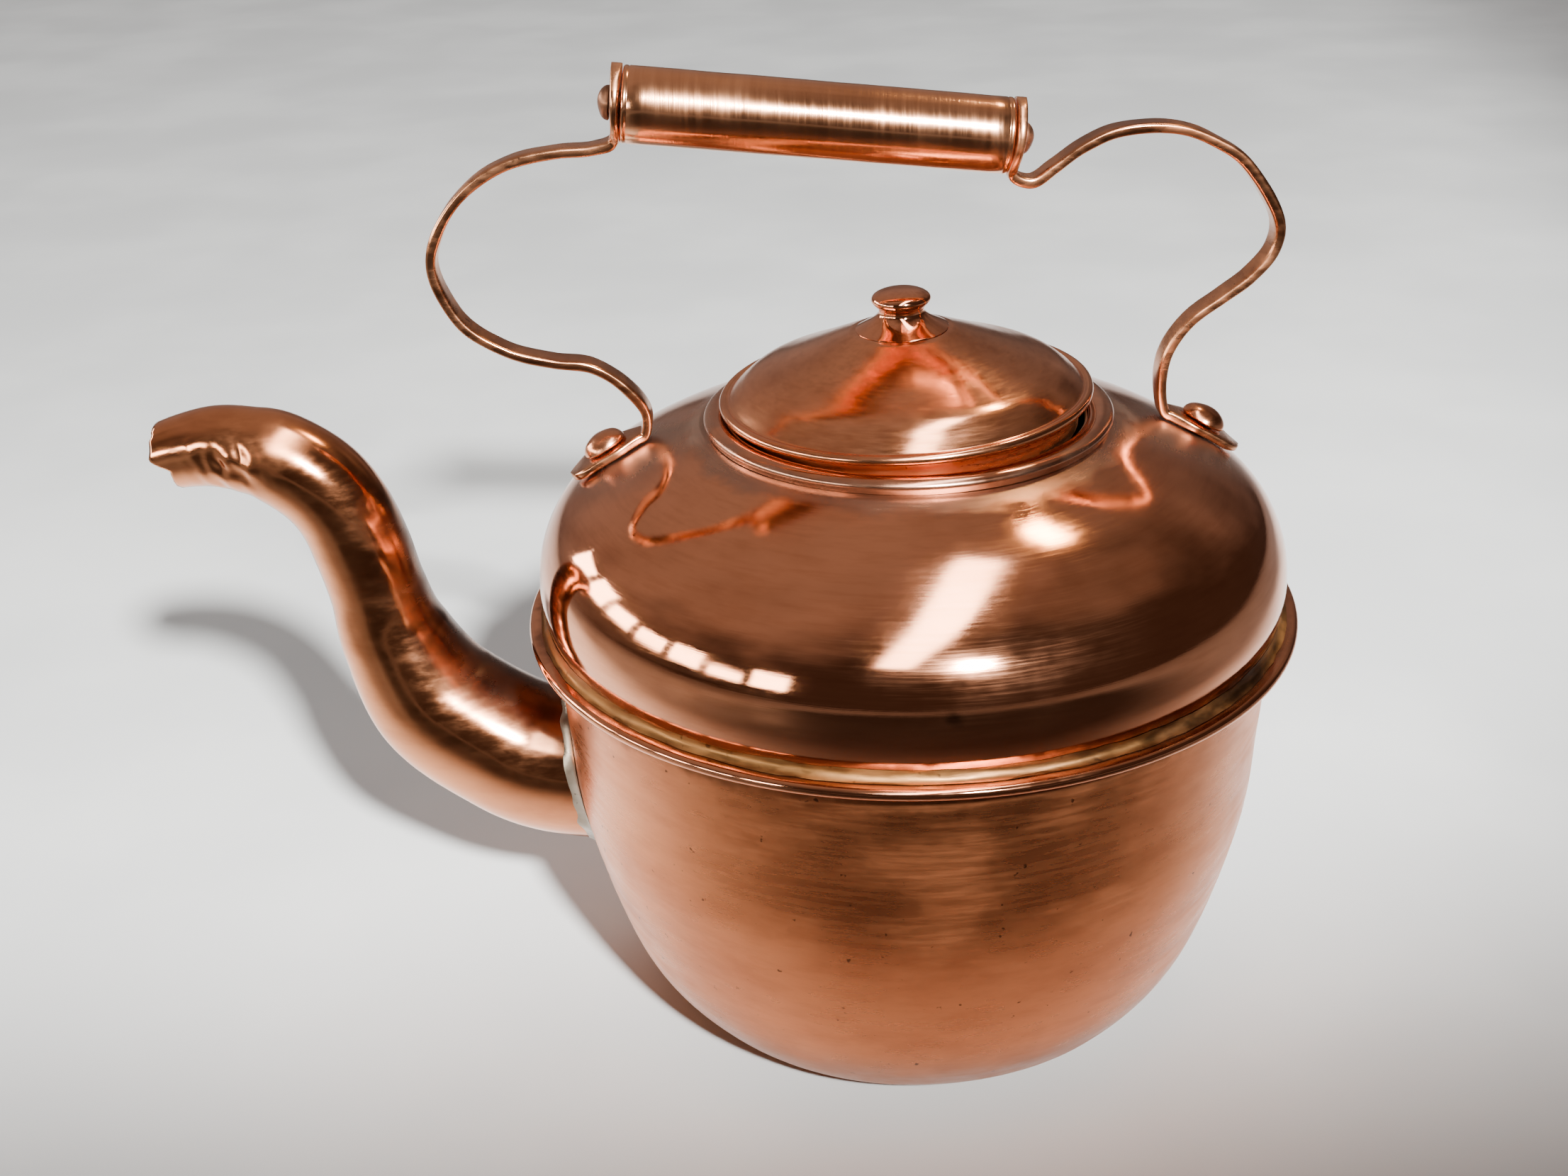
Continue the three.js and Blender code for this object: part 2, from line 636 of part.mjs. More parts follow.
// The grip is a tube whose ends are turned in to run on the rod.
function gripTube() {
  const half = GRIP_LENGTH / 2;
  const bore = ROD_RADIUS + GAP;
  const edge = GRIP_WALL * 0.7;
  const outline = [
    [bore, -half],
    [GRIP_RADIUS - edge, -half],
    [GRIP_RADIUS, -half + edge],
    [GRIP_RADIUS, half - edge],
    [GRIP_RADIUS - edge, half],
    [bore, half],
    [bore, half - GRIP_WALL],
    [GRIP_RADIUS - GRIP_WALL, half - GRIP_WALL],
    [GRIP_RADIUS - GRIP_WALL, -half + GRIP_WALL],
    [bore, -half + GRIP_WALL],
    [bore, -half],
  ];
  return placed(revolve(outline, 20), gripCentre, gripDirection);
}

function gripRod() {
  const face = GRIP_LENGTH / 2 + GAP + DISC_THICKNESS + GAP;
  const head = smooth(
    [
      [ROD_HEAD_RADIUS, face],
      [ROD_HEAD_RADIUS * 0.8, face + ROD_HEAD_HEIGHT * 0.68],
      [0, face + ROD_HEAD_HEIGHT],
    ],
    5,
  );
  head[head.length - 1] = [0, face + ROD_HEAD_HEIGHT];
  const mirrored = head.map(([r, z]) => [r, -z]).reverse();
  const outline = [...mirrored, [ROD_RADIUS, -face], [ROD_RADIUS, face], ...head];
  return placed(revolve(outline, 16), gripCentre, gripDirection);
}

// ---- Assembly ----

function piece(name, geometry, finish) {
  const mesh = new THREE.Mesh(geometry, new THREE.MeshStandardMaterial(finish));
  mesh.name = name;
  return mesh;
}

const kettle = new THREE.Group();
const turn = THREE.MathUtils.degToRad(HANDLE_TURN);
const leftFoot = footFrame(-1);
const rightFoot = footFrame(1);

// A rivet's hole turned from the handle's frame into the kettle's.
function shoulderHole(frame) {
  return rivetHole(frame).rotate([0, 0, HANDLE_TURN]);
}

kettle.add(piece('bowl', bowl(spoutBore), SATIN_COPPER));
kettle.add(piece('shoulder', shoulder([shoulderHole(leftFoot), shoulderHole(rightFoot)]), COPPER));
kettle.add(piece('rim_solder', rimSolder(), SOLDER));
kettle.add(piece('neck_collar', neckCollar(), COPPER));
kettle.add(piece('spout', spout(), SATIN_COPPER));
kettle.add(piece('spout_solder', spoutSolder(), TIN_SOLDER));

const lid = new THREE.Group();
lid.position.set(LID_SHIFT, 0, COLLAR_TOP + LID_SEAT);
lid.rotation.set(LID_TURN_X, LID_TURN_Y, 0);
lid.add(piece('lid_dome', lidDome(), COPPER));
lid.add(piece('lid_bezel', lidBezel(), COPPER));
lid.add(piece('lid_knob', lidKnob(), COPPER));
const knobBurr = piece('knob_burr', washer(KNOB_SPIGOT + GAP, BURR_RADIUS, BURR_THICKNESS), COPPER);
knobBurr.position.z = KNOB_BURR_TOP - BURR_THICKNESS;
lid.add(knobBurr);
kettle.add(lid);

const handle = new THREE.Group();
handle.rotation.z = turn;
handle.add(piece('left_arm', arm(-1, LEFT_BENDS), STRAP_COPPER));
handle.add(piece('right_arm', arm(1, RIGHT_BENDS), STRAP_COPPER));
handle.add(piece('left_rivet', rivet(leftFoot), COPPER));
handle.add(piece('right_rivet', rivet(rightFoot), COPPER));
handle.add(piece('left_rivet_burr', rivetBurr(leftFoot), COPPER));
handle.add(piece('right_rivet_burr', rivetBurr(rightFoot), COPPER));
handle.add(piece('grip_tube', gripTube(), COPPER));
handle.add(piece('grip_rod', gripRod(), IRON));
kettle.add(handle);

export default kettle;
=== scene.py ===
"""A copper kettle with a swan-neck spout, a lift-off lid and a tubular grip on two strap arms.

Every piece is modelled in metres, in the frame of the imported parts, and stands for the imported
node of the same name. The origin is the centre of the kettle's flat base, +Z is up and the spout
points along -X. The handle stands in a plane that is turned a little about the kettle's axis.
"""

import logging
import math
from collections.abc import Callable, Sequence
from dataclasses import dataclass
from enum import Enum

import bmesh
import bpy
from mathutils import Matrix, Vector, noise


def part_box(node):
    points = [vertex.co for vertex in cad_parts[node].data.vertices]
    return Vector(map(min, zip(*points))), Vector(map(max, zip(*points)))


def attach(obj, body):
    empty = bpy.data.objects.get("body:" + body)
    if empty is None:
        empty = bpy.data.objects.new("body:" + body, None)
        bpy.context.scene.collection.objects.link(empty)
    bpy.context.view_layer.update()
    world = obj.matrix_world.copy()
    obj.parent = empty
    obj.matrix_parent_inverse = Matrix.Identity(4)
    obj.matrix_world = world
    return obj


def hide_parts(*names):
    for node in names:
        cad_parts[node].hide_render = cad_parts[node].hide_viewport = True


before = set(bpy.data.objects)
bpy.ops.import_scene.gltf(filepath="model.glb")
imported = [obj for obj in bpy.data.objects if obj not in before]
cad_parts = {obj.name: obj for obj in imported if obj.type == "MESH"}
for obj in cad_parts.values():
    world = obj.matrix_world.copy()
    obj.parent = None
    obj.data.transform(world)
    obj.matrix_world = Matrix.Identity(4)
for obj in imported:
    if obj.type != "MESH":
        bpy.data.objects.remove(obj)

LOG = logging.getLogger("kettle")
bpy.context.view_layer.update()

MM = 0.001
GAP = 0.3 * MM
SHEET = 1.2 * MM
BURR_THICKNESS = 1.2 * MM
ROUND_STEPS = 144
HANDLE_TURN = math.radians(5)
UP = Vector((0, 0, 1))
KETTLE_MIDDLE = Vector((0, 0, 0.12))

Pair = tuple[float, float]
Place = tuple[float, float, float]
Colour = tuple[float, float, float]
Outline = list[Pair]
Socket = bpy.types.NodeSocket

# How far a patch's edge wanders, as a share of its reach and at the most, and its solid middle.
EDGE_WANDER = 0.28
MOST_WANDER = 1.6 * MM
SOLID_MIDDLE = 0.25

# How close each pattern on the metal lies, per metre.
CLOUDS = 26.0
SMEARS = 38.0
RIPPLES = 55.0
RAGGED_EDGES = 90.0
SPECKS = 420.0


# ---- Curves ----


def blend_cubic(before: float, start: float, end: float, after: float, share: float) -> float:
    """A smooth value between start and end, whose slope also heeds the values around them.

    Args:
        before: The value before the start.
        start: The value at a share of 0.
        end: The value at a share of 1.
        after: The value after the end.
        share: How far along to read it.

    Returns:
        The value there.
    """
    slope_in = (end - before) / 2
    slope_out = (after - start) / 2
    return (
        (2 * start - 2 * end + slope_in + slope_out) * share**3
        + (-3 * start + 3 * end - 2 * slope_in - slope_out) * share**2
        + slope_in * share
        + start
    )


def on_curve(values: Sequence[float], place: float) -> float:
    """Reads a smooth curve through evenly spaced values.

    Args:
        values: The values that the curve passes through.
        place: Where to read it, from 0 at the first value to 1 at the last.

    Returns:
        The curve's value there.
    """
    scaled = min(max(place, 0.0), 1.0) * (len(values) - 1)
    index = min(int(scaled), len(values) - 2)
    before = values[max(index - 1, 0)]
    after = values[min(index + 2, len(values) - 1)]
    return blend_cubic(before, values[index], values[index + 1], after, scaled - index)


def smooth(pairs: Sequence[Pair], steps: int) -> Outline:
    """Points of a smooth curve through a few (radius, height) pairs.

    Args:
        pairs: The pairs that the curve passes through.
        steps: How many steps it has.

    Returns:
        The curve's points, one more than its steps.
    """
    firsts = [pair[0] for pair in pairs]
    seconds = [pair[1] for pair in pairs]
    return [(on_curve(firsts, i / steps), on_curve(seconds, i / steps)) for i in range(steps + 1)]


def offset(outline: Outline, distance: float) -> Outline:
    """The same outline moved sideways: a positive distance is to the right of its direction.

    Args:
        outline: The outline.
        distance: How far it moves.

    Returns:
        The moved outline.
    """
    moved = []
    for index, (x, y) in enumerate(outline):
        before = outline[max(index - 1, 0)]
        after = outline[min(index + 1, len(outline) - 1)]
        run = after[0] - before[0]
        rise = after[1] - before[1]
        length = math.hypot(run, rise)
        moved.append((x + rise / length * distance, y - run / length * distance))
    return moved


def arc(centre: Pair, radius: float, start: float, end: float, steps: int, squash: float = 1) -> Outline:
    """Points of an arc, from one angle to another in degrees, flattened in height by squash.

    Args:
        centre: The arc's middle.
        radius: Its radius.
        start: The angle that it starts at.
        end: The angle that it ends at.
        steps: How many steps it has.
        squash: What its height is multiplied by.

    Returns:
        The arc's points, one more than its steps.
    """
    points = []
    for step in range(steps + 1):
        angle = math.radians(start + (end - start) * step / steps)
        points.append(
            (centre[0] + radius * math.cos(angle), centre[1] + radius * squash * math.sin(angle))
        )
    return points


def height_at(outline: Outline, radius: float) -> float:
    """The height at which an outline crosses a radius.

    Args:
        outline: The outline, as (radius, height) pairs.
        radius: The radius.

    Returns:
        The height of its first crossing.
    """
    for (r0, z0), (r1, z1) in zip(outline, outline[1:]):
        if (r0 - radius) * (r1 - radius) <= 0 and r0 != r1:
            return z0 + (z1 - z0) * (radius - r0) / (r1 - r0)
    raise ValueError(f"no height at radius {radius}")


def radius_at(outline: Outline, height: float) -> float:
    """The radius at which an outline crosses a height."""
    return height_at([(z, r) for r, z in outline], height)


def ease(value: float, low: float, high: float) -> float:
    """A smooth step from 0 at low to 1 at high."""
    share = min(max((value - low) / (high - low), 0.0), 1.0)
    return share * share * (3 - 2 * share)


def spaced_path(points: Sequence[Vector], count: int) -> list[Vector]:
    """A smooth path through points, as evenly spaced points.

    Args:
        points: The bends that the path passes through.
        count: How many points to return.

    Returns:
        The path's points, from the first bend to the last.
    """
    fine = []
    ends = [points[0] * 2 - points[1], *points, points[-1] * 2 - points[-2]]
    for a, b, c, d in zip(ends, ends[1:], ends[2:], ends[3:]):
        knots = [0.0]
        for start, end in ((a, b), (b, c), (c, d)):
            knots.append(knots[-1] + max(math.sqrt((end - start).length), 1e-6))
        for step in range(24):
            t = knots[1] + (knots[2] - knots[1]) * step / 24
            ab = a.lerp(b, (t - knots[0]) / (knots[1] - knots[0]))
            bc = b.lerp(c, (t - knots[1]) / (knots[2] - knots[1]))
            cd = c.lerp(d, (t - knots[2]) / (knots[3] - knots[2]))
            abc = ab.lerp(bc, (t - knots[0]) / (knots[2] - knots[0]))
            bcd = bc.lerp(cd, (t - knots[1]) / (knots[3] - knots[1]))
            fine.append(abc.lerp(bcd, (t - knots[1]) / (knots[2] - knots[1])))
    fine.append(points[-1].copy())
    lengths = [0.0]
    for start, end in zip(fine, fine[1:]):
        lengths.append(lengths[-1] + (end - start).length)
    even = []
    index = 0
    for step in range(count):
        target = lengths[-1] * step / (count - 1)
        while index < len(fine) - 2 and lengths[index + 1] < target:
            index += 1
        span = lengths[index + 1] - lengths[index]
        even.append(fine[index].lerp(fine[index + 1], (target - lengths[index]) / span))
    return even


# ---- Finishes ----


class Grain(Enum):
    """Which way the fine polishing lines run."""

    AROUND = "round the kettle's axis"
    HOOPED = "round the grip"
    CROSSED = "every way, as on hand-rubbed metal"


@dataclass(frozen=True)
class StainAndShade:
    """A round patch that fades out, used for tarnish and for painted shade.

    Attributes:
        centre: The middle of the patch.
        reach: How far it spreads.
        colour: Its colour, as linear red, green and blue.
        strength: How much of the metal it hides, from 0 to 1.
        dulling: How much roughness it adds.
    """

    centre: Place
    reach: float
    colour: Colour
    strength: float
    dulling: float = 0.3


@dataclass(frozen=True)
class Ring:
    """A band round the kettle's axis that fades out, used for tarnish and for painted shade.

    Attributes:
        radius: The middle of the band, from the axis.
        height: The middle of the band, above the table.
        reach: How far it spreads from its middle.
        colour: Its colour, as linear red, green and blue.
        strength: How much of the metal it hides, from 0 to 1.
        dulling: How much roughness it adds.
    """

    radius: float
    height: float
    reach: float
    colour: Colour
    strength: float
    dulling: float = 0.3


GREY_TARNISH = (0.20, 0.165, 0.14)
BROWN_TARNISH = (0.10, 0.035, 0.015)
DARK_TARNISH = (0.03, 0.014, 0.008)
# Painted shade that darkens the lower bowl round its foot.
PAINTED_BASE_SHADE = (0.24, 0.075, 0.032)
# Partly tarnish and partly painted shade, for the inner side of the spout's bend, which faces the bowl.
INNER_TARNISH_AND_SHADE = (0.085, 0.05, 0.038)


class Nodes:
    """Adds nodes to one node tree and joins them up."""

    def __init__(self, tree: bpy.types.NodeTree) -> None:
        """Starts on a node tree."""
        self.tree = tree

    def join(self, source: Socket, target: Socket) -> None:
        """Links an output to an input."""
        self.tree.links.new(source, target)

    def add(self, kind: str, inputs: dict[str | int, object], **settings: object) -> bpy.types.Node:
        """Adds a node.

        Args:
            kind: The node's type.
            inputs: A value or an output for each input, by name or number.
            **settings: The node's own settings.

        Returns:
            The new node.
        """
        node = self.tree.nodes.new(kind)
        for name, value in settings.items():
            setattr(node, name, value)
        for name, value in inputs.items():
            if isinstance(value, Socket):
                self.join(value, node.inputs[name])
            else:
                node.inputs[name].default_value = value
        return node

    def maths(self, kind: str, *values: object) -> Socket:
        """The result of a math node."""
        return self.add("ShaderNodeMath", dict(enumerate(values)), operation=kind).outputs[0]

    def vectors(self, kind: str, first: object, second: object = None) -> bpy.types.Node:
        """Adds a vector math node of one or two vectors."""
        inputs = {0: first} if second is None else {0: first, 1: second}
        return self.add("ShaderNodeVectorMath", inputs, operation=kind)

    def noise(self, vector: Socket, scale: float, detail: float, roughness: float = 0.5) -> Socket:
        """Smooth random values from about 0.2 to 0.8.

        Args:
            vector: Where the pattern is read.
            scale: How close it lies.
            detail: How many finer layers it has.
            roughness: How strong the finer layers are.

        Returns:
            The pattern's value.
        """
        node = self.add(
            "ShaderNodeTexNoise",
            {"Vector": vector, "Scale": scale, "Detail": detail, "Roughness": roughness},
        )
        return node.outputs["Fac"]

    def graded(self, value: object, low: float, high: float, to_low: float, to_high: float) -> Socket:
        """A value carried smoothly from one range to another, and held within it.

        Args:
            value: The value.
            low: Start of its range.
            high: End of its range.
            to_low: What the start becomes.
            to_high: What the end becomes.

        Returns:
            The new value.
        """
        node = self.add(
            "ShaderNodeMapRange",
            {"Value": value, "From Min": low, "From Max": high, "To Min": to_low, "To Max": to_high},
            interpolation_type="SMOOTHSTEP",
        )
        return node.outputs["Result"]

    def mixed(self, share: object, first: object, second: object) -> Socket:
        """Two colours mixed by a share of the second."""
        node = self.add("ShaderNodeMix", {0: share, 6: first, 7: second}, data_type="RGBA")
        return node.outputs[2]


class MaterialNodes(Nodes):
    """Adds nodes to one material, whose surface is a principled shader."""

    def __init__(self, material: bpy.types.Material) -> None:
        """Clears the material and gives it the shader.

        Args:
            material: The material.
        """
        material.use_nodes = True
        super().__init__(material.node_tree)
        self.tree.nodes.clear()
        self.shader = self.tree.nodes.new("ShaderNodeBsdfPrincipled")
        output = self.tree.nodes.new("ShaderNodeOutputMaterial")
        self.join(self.shader.outputs["BSDF"], output.inputs["Surface"])
        self.place = self.tree.nodes.new("ShaderNodeTexCoord").outputs["Object"]

    def mapped(self, scale: Sequence[float], turn: float = 0.0) -> Socket:
        """Where a point is on the piece, for a pattern to read.

        Args:
            scale: What each axis is multiplied by.
            turn: A turn about Z, in radians.

        Returns:
            The object's own coordinates, turned and scaled.
        """
        mapping = self.add(
            "ShaderNodeMapping",
            {"Vector": self.place, "Scale": scale, "Rotation": (0.0, 0.0, turn)},
        )
        return mapping.outputs["Vector"]

    def round_place(self) -> tuple[Socket, Socket, Socket]:
        """Where a point is round the kettle's axis.

        Returns:
            Its distance from the axis, its height and its direction.
        """
        parts = self.add("ShaderNodeSeparateXYZ", {0: self.place})
        flat = self.vectors("MULTIPLY", self.place, (1, 1, 0)).outputs[0]
        length = self.vectors("LENGTH", flat)
        heading = self.vectors("NORMALIZE", flat)
        return length.outputs["Value"], parts.outputs[2], heading.outputs[0]

    def lines_round_axis(self, per_metre: float, arcs: float) -> Socket:
        """Fine lines that run round the kettle's axis.

        Args:
            per_metre: How close the lines lie.
            arcs: How often a line breaks off, per radian.

        Returns:
            Random values that change fast across the lines and slowly along them.
        """
        distance, height, heading = self.round_place()
        across = self.maths("MULTIPLY", self.maths("SUBTRACT", height, distance), per_metre)
        along = self.add("ShaderNodeVectorMath", {0: heading, "Scale": arcs}, operation="SCALE")
        lift = self.add("ShaderNodeCombineXYZ", {2: across})
        both = self.vectors("ADD", along.outputs[0], lift.outputs[0])
        return self.noise(both.outputs[0], 1.0, 4.0, 0.65)


@dataclass(frozen=True)
class Metal:
    """A metal finish with polishing lines, tarnish, painted shade in places and slight unevenness.

    Attributes:
        name: The material's name.
        colour: The clean metal.
        deep: The metal where it has darkened.
        darkening: How much of it has darkened, from 0 to 1.
        roughness: The roughness of the smoothest and the roughest places.
        grain: Which way the polishing lines run.
        lines: How close the polishing lines lie, per metre.
        depth: How deep they look, in metres.
        ripple: How deep the slow unevenness of hand-worked metal looks, in metres.
        rings: Bands of tarnish and of painted shade.
        stains_and_shade: Patches of tarnish and of painted shade.
        specks: How many dark specks show, from 0 to 1.
    """

    name: str
    colour: Colour
    deep: Colour
    darkening: float
    roughness: tuple[float, float]
    grain: Grain
    lines: float
    depth: float
    ripple: float
    rings: tuple[Ring, ...] = ()
    stains_and_shade: tuple[StainAndShade, ...] = ()
    specks: float = 0.0

    def build(self) -> bpy.types.Material:
        """Makes the material.

        Returns:
            The finished node material.
        """
        material = bpy.data.materials.new(self.name)
        nodes = MaterialNodes(material)
        nodes.shader.inputs["Metallic"].default_value = 1.0
        colour = self.coloured(nodes)
        rough = self.roughened(nodes)
        colour, rough = self.tarnished_and_shaded(nodes, colour, rough)
        nodes.join(colour, nodes.shader.inputs["Base Color"])
        nodes.join(rough, nodes.shader.inputs["Roughness"])
        nodes.join(self.bumped(nodes), nodes.shader.inputs["Normal"])
        return material

    def coloured(self, nodes: MaterialNodes) -> Socket:
        """The metal's colour, with slow cloudy changes and faint streaks along the grain.

        Args:
            nodes: The material's nodes.

        Returns:
            The colour.
        """
        clouds = nodes.noise(nodes.mapped((1, 1, 2.2)), CLOUDS, 5.0, 0.6)
        share = nodes.graded(clouds, 0.4, 0.72, 0.0, self.darkening)
        body = nodes.mixed(share, (*self.colour, 1), (*self.deep, 1))
        streaks = nodes.graded(self.polished(nodes, 0.16), 0.42, 0.7, 0.0, self.darkening * 0.5)
        return nodes.mixed(streaks, body, (*self.deep, 1))

    def roughened(self, nodes: MaterialNodes) -> Socket:
        """The metal's roughness, in smears and along the polishing lines.

        Args:
            nodes: The material's nodes.

        Returns:
            The roughness.
        """
        smears = nodes.noise(nodes.mapped((1, 1, 1.5), 0.6), SMEARS, 4.0, 0.55)
        smooth_side, rough_side = self.roughness
        slow = nodes.graded(smears, 0.38, 0.68, smooth_side, rough_side)
        fast = nodes.graded(
            self.polished(nodes, 0.5), 0.35, 0.7, 0.0, (rough_side - smooth_side) * 0.7
        )
        return nodes.maths("ADD", slow, fast)

    def polished(self, nodes: MaterialNodes, fineness: float) -> Socket:
        """The polishing lines, at a share of their full fineness.

        Args:
            nodes: The material's nodes.
            fineness: The share, from 0 to 1.

        Returns:
            Random values that change fast across the lines.
        """
        close = self.lines * fineness
        if self.grain is Grain.AROUND:
            return nodes.lines_round_axis(close, 5.0)
        if self.grain is Grain.HOOPED:
            mapped = nodes.mapped((close, 0.04 * close, 0.04 * close), -HANDLE_TURN)
        else:
            mapped = nodes.mapped((close * 0.3, close * 0.3, close), 0.7)
        return nodes.noise(mapped, 1.0, 4.0, 0.65)

    def tarnished_and_shaded(
        self, nodes: MaterialNodes, colour: Socket, rough: Socket
    ) -> tuple[Socket, Socket]:
        """Lays bands and patches of tarnish and of painted shade, and specks of tarnish, over the metal.

        Args:
            nodes: The material's nodes.
            colour: The clean metal's colour.
            rough: The clean metal's roughness.

        Returns:
            The colour and roughness with tarnish and painted shade laid on.
        """
        edges = nodes.noise(nodes.mapped((1, 1, 1)), RAGGED_EDGES, 3.0, 0.55)
        ragged = nodes.graded(edges, 0.3, 0.7, -1, 1)
        for ring in self.rings:
            distance, height, _ = nodes.round_place()
            out = nodes.maths("SUBTRACT", distance, ring.radius)
            over = nodes.maths("SUBTRACT", height, ring.height)
            off = nodes.add("ShaderNodeCombineXYZ", {0: out, 1: over})
            away = nodes.vectors("LENGTH", off.outputs[0]).outputs["Value"]
            colour, rough = self.covered(nodes, away, ragged, ring, colour, rough)
        for round_patch in self.stains_and_shade:
            away = nodes.vectors("DISTANCE", nodes.place, round_patch.centre).outputs["Value"]
            colour, rough = self.covered(nodes, away, ragged, round_patch, colour, rough)
        if self.specks > 0:
            dots = nodes.noise(nodes.mapped((1, 1, 1)), SPECKS, 2.0, 0.5)
            spotted = nodes.graded(dots, 0.72 - 0.1 * self.specks, 0.78, 0.0, 0.75)
            colour = nodes.mixed(spotted, colour, (*DARK_TARNISH, 1))
        return colour, rough

    @staticmethod
    def covered(
        nodes: MaterialNodes,
        away: Socket,
        ragged: Socket,
        patch: Ring | StainAndShade,
        colour: Socket,
        rough: Socket,
    ) -> tuple[Socket, Socket]:
        """Lays one patch with a ragged edge, tarnish and painted shade alike, and dulls the metal under
        it.

        Args:
            nodes: The material's nodes.
            away: How far a point is from the patch's middle.
            ragged: Random values from -1 to 1 that break up the patch's edge.
            patch: The band or patch; tarnish and painted shade alike.
            colour: The colour under it.
            rough: The roughness under it.

        Returns:
            The colour and roughness with the patch laid on.
        """
        wander = nodes.maths("MULTIPLY", ragged, min(patch.reach * EDGE_WANDER, MOST_WANDER))
        ragged_away = nodes.maths("ADD", away, wander)
        middle = SOLID_MIDDLE * patch.reach
        share = nodes.graded(ragged_away, middle, patch.reach, patch.strength, 0.0)
        duller = nodes.maths("ADD", rough, nodes.maths("MULTIPLY", share, patch.dulling))
        return nodes.mixed(share, colour, (*patch.colour, 1)), duller

    def bumped(self, nodes: MaterialNodes) -> Socket:
        """The normal, with polishing lines over the slow ripple of hand-worked metal.

        Args:
            nodes: The material's nodes.

        Returns:
            The normal for the shader.
        """
        ripple = nodes.add(
            "ShaderNodeBump",
            {
                "Height": nodes.noise(nodes.mapped((1, 1, 1)), RIPPLES, 2.0, 0.45),
                "Distance": self.ripple,
                "Strength": 1.0,
            },
        )
        lines = nodes.add(
            "ShaderNodeBump",
            {
                "Height": self.polished(nodes, 1.0),
                "Distance": self.depth,
                "Strength": 1.0,
                "Normal": ripple.outputs["Normal"],
            },
        )
        return lines.outputs["Normal"]


POLISHED = Metal(
    name="polished_copper",
    colour=(0.86, 0.365, 0.195),
    deep=(0.48, 0.14, 0.05),
    darkening=0.35,
    roughness=(0.035, 0.10),
    grain=Grain.AROUND,
    lines=2600.0,
    depth=0.006 * MM,
    ripple=0.05 * MM,
    rings=(
        Ring(0.0505, 0.1555, 0.0062, GREY_TARNISH, 0.6),
        Ring(0.0905, 0.1092, 0.0042, BROWN_TARNISH, 0.75),
    ),
    stains_and_shade=(
        StainAndShade((0.0085, -0.0895, 0.1235), 0.0032, DARK_TARNISH, 0.95, 0.04),
        StainAndShade((-0.063, -0.004, 0.1485), 0.026, GREY_TARNISH, 0.75),
        StainAndShade((0.066, 0.004, 0.1485), 0.026, GREY_TARNISH, 0.75),
    ),
)
LID_METAL = Metal(
    name="lid_copper",
    colour=(0.84, 0.36, 0.185),
    deep=(0.44, 0.14, 0.055),
    darkening=0.55,
    roughness=(0.10, 0.2),
    grain=Grain.AROUND,
    lines=1900.0,
    depth=0.008 * MM,
    ripple=0.06 * MM,
)
SATIN = Metal(
    name="satin_copper",
    colour=(0.74, 0.27, 0.115),
    deep=(0.44, 0.13, 0.048),
    darkening=0.45,
    roughness=(0.24, 0.36),
    grain=Grain.AROUND,
    lines=1500.0,
    depth=0.012 * MM,
    ripple=0.05 * MM,
    rings=(
        Ring(0.0895, 0.1035, 0.0042, BROWN_TARNISH, 0.75),
        # Painted shade: a dark band round the foot of the bowl.
        Ring(0.062, 0.004, 0.030, PAINTED_BASE_SHADE, 0.7, 0.04),
    ),
    specks=0.1,
)
SPOUT_METAL = Metal(
    name="spout_copper",
    colour=(0.82, 0.33, 0.155),
    deep=(0.42, 0.13, 0.05),
    darkening=0.5,
    roughness=(0.09, 0.18),
    grain=Grain.CROSSED,
    lines=900.0,
    depth=0.003 * MM,
    ripple=0.02 * MM,
    # Along the inner side of the bend: partly tarnish, partly painted shade.
    stains_and_shade=(
        StainAndShade((-0.090, -0.002, 0.079), 0.023, INNER_TARNISH_AND_SHADE, 0.9, 0.1),
        StainAndShade((-0.107, -0.001, 0.087), 0.021, INNER_TARNISH_AND_SHADE, 0.9, 0.1),
        StainAndShade((-0.118, -0.001, 0.102), 0.019, INNER_TARNISH_AND_SHADE, 0.9, 0.1),
        StainAndShade((-0.123, -0.001, 0.117), 0.017, INNER_TARNISH_AND_SHADE, 0.85, 0.1),
        StainAndShade((-0.128, 0.0, 0.131), 0.014, INNER_TARNISH_AND_SHADE, 0.75, 0.1),
    ),
)
STRAP = Metal(
    name="strap_copper",
    colour=(0.68, 0.31, 0.16),
    deep=(0.30, 0.105, 0.045),
    darkening=0.7,
    roughness=(0.16, 0.30),
    grain=Grain.CROSSED,
    lines=1100.0,
    depth=0.012 * MM,
    ripple=0.10 * MM,
    specks=0.25,
)
RIVET = Metal(
    name="rivet_copper",
    colour=(0.80, 0.34, 0.18),
    deep=(0.40, 0.13, 0.055),
    darkening=0.6,
    roughness=(0.15, 0.30),
    grain=Grain.CROSSED,
    lines=1400.0,
    depth=0.010 * MM,
    ripple=0.12 * MM,
    specks=0.2,
)
GRIP = Metal(
    name="grip_copper",
    colour=(0.86, 0.40, 0.21),
    deep=(0.50, 0.18, 0.07),
    darkening=0.4,
    roughness=(0.12, 0.19),
    grain=Grain.HOOPED,
    lines=1500.0,
    depth=0.035 * MM,
    ripple=0.03 * MM,
)
BRAZING = Metal(
    name="brazing",
    colour=(0.27, 0.13, 0.045),
    deep=(0.07, 0.032, 0.015),
    darkening=1.0,
    roughness=(0.3, 0.5),
    grain=Grain.CROSSED,
    lines=700.0,
    depth=0.05 * MM,
    ripple=0.25 * MM,
    specks=0.8,
)
SOLDER = Metal(
    name="tin_solder",
    colour=(0.42, 0.36, 0.29),
    deep=(0.16, 0.11, 0.07),
    darkening=0.6,
    roughness=(0.25, 0.45),
    grain=Grain.CROSSED,
    lines=600.0,
    depth=0.04 * MM,
    ripple=0.25 * MM,
    specks=0.3,
)
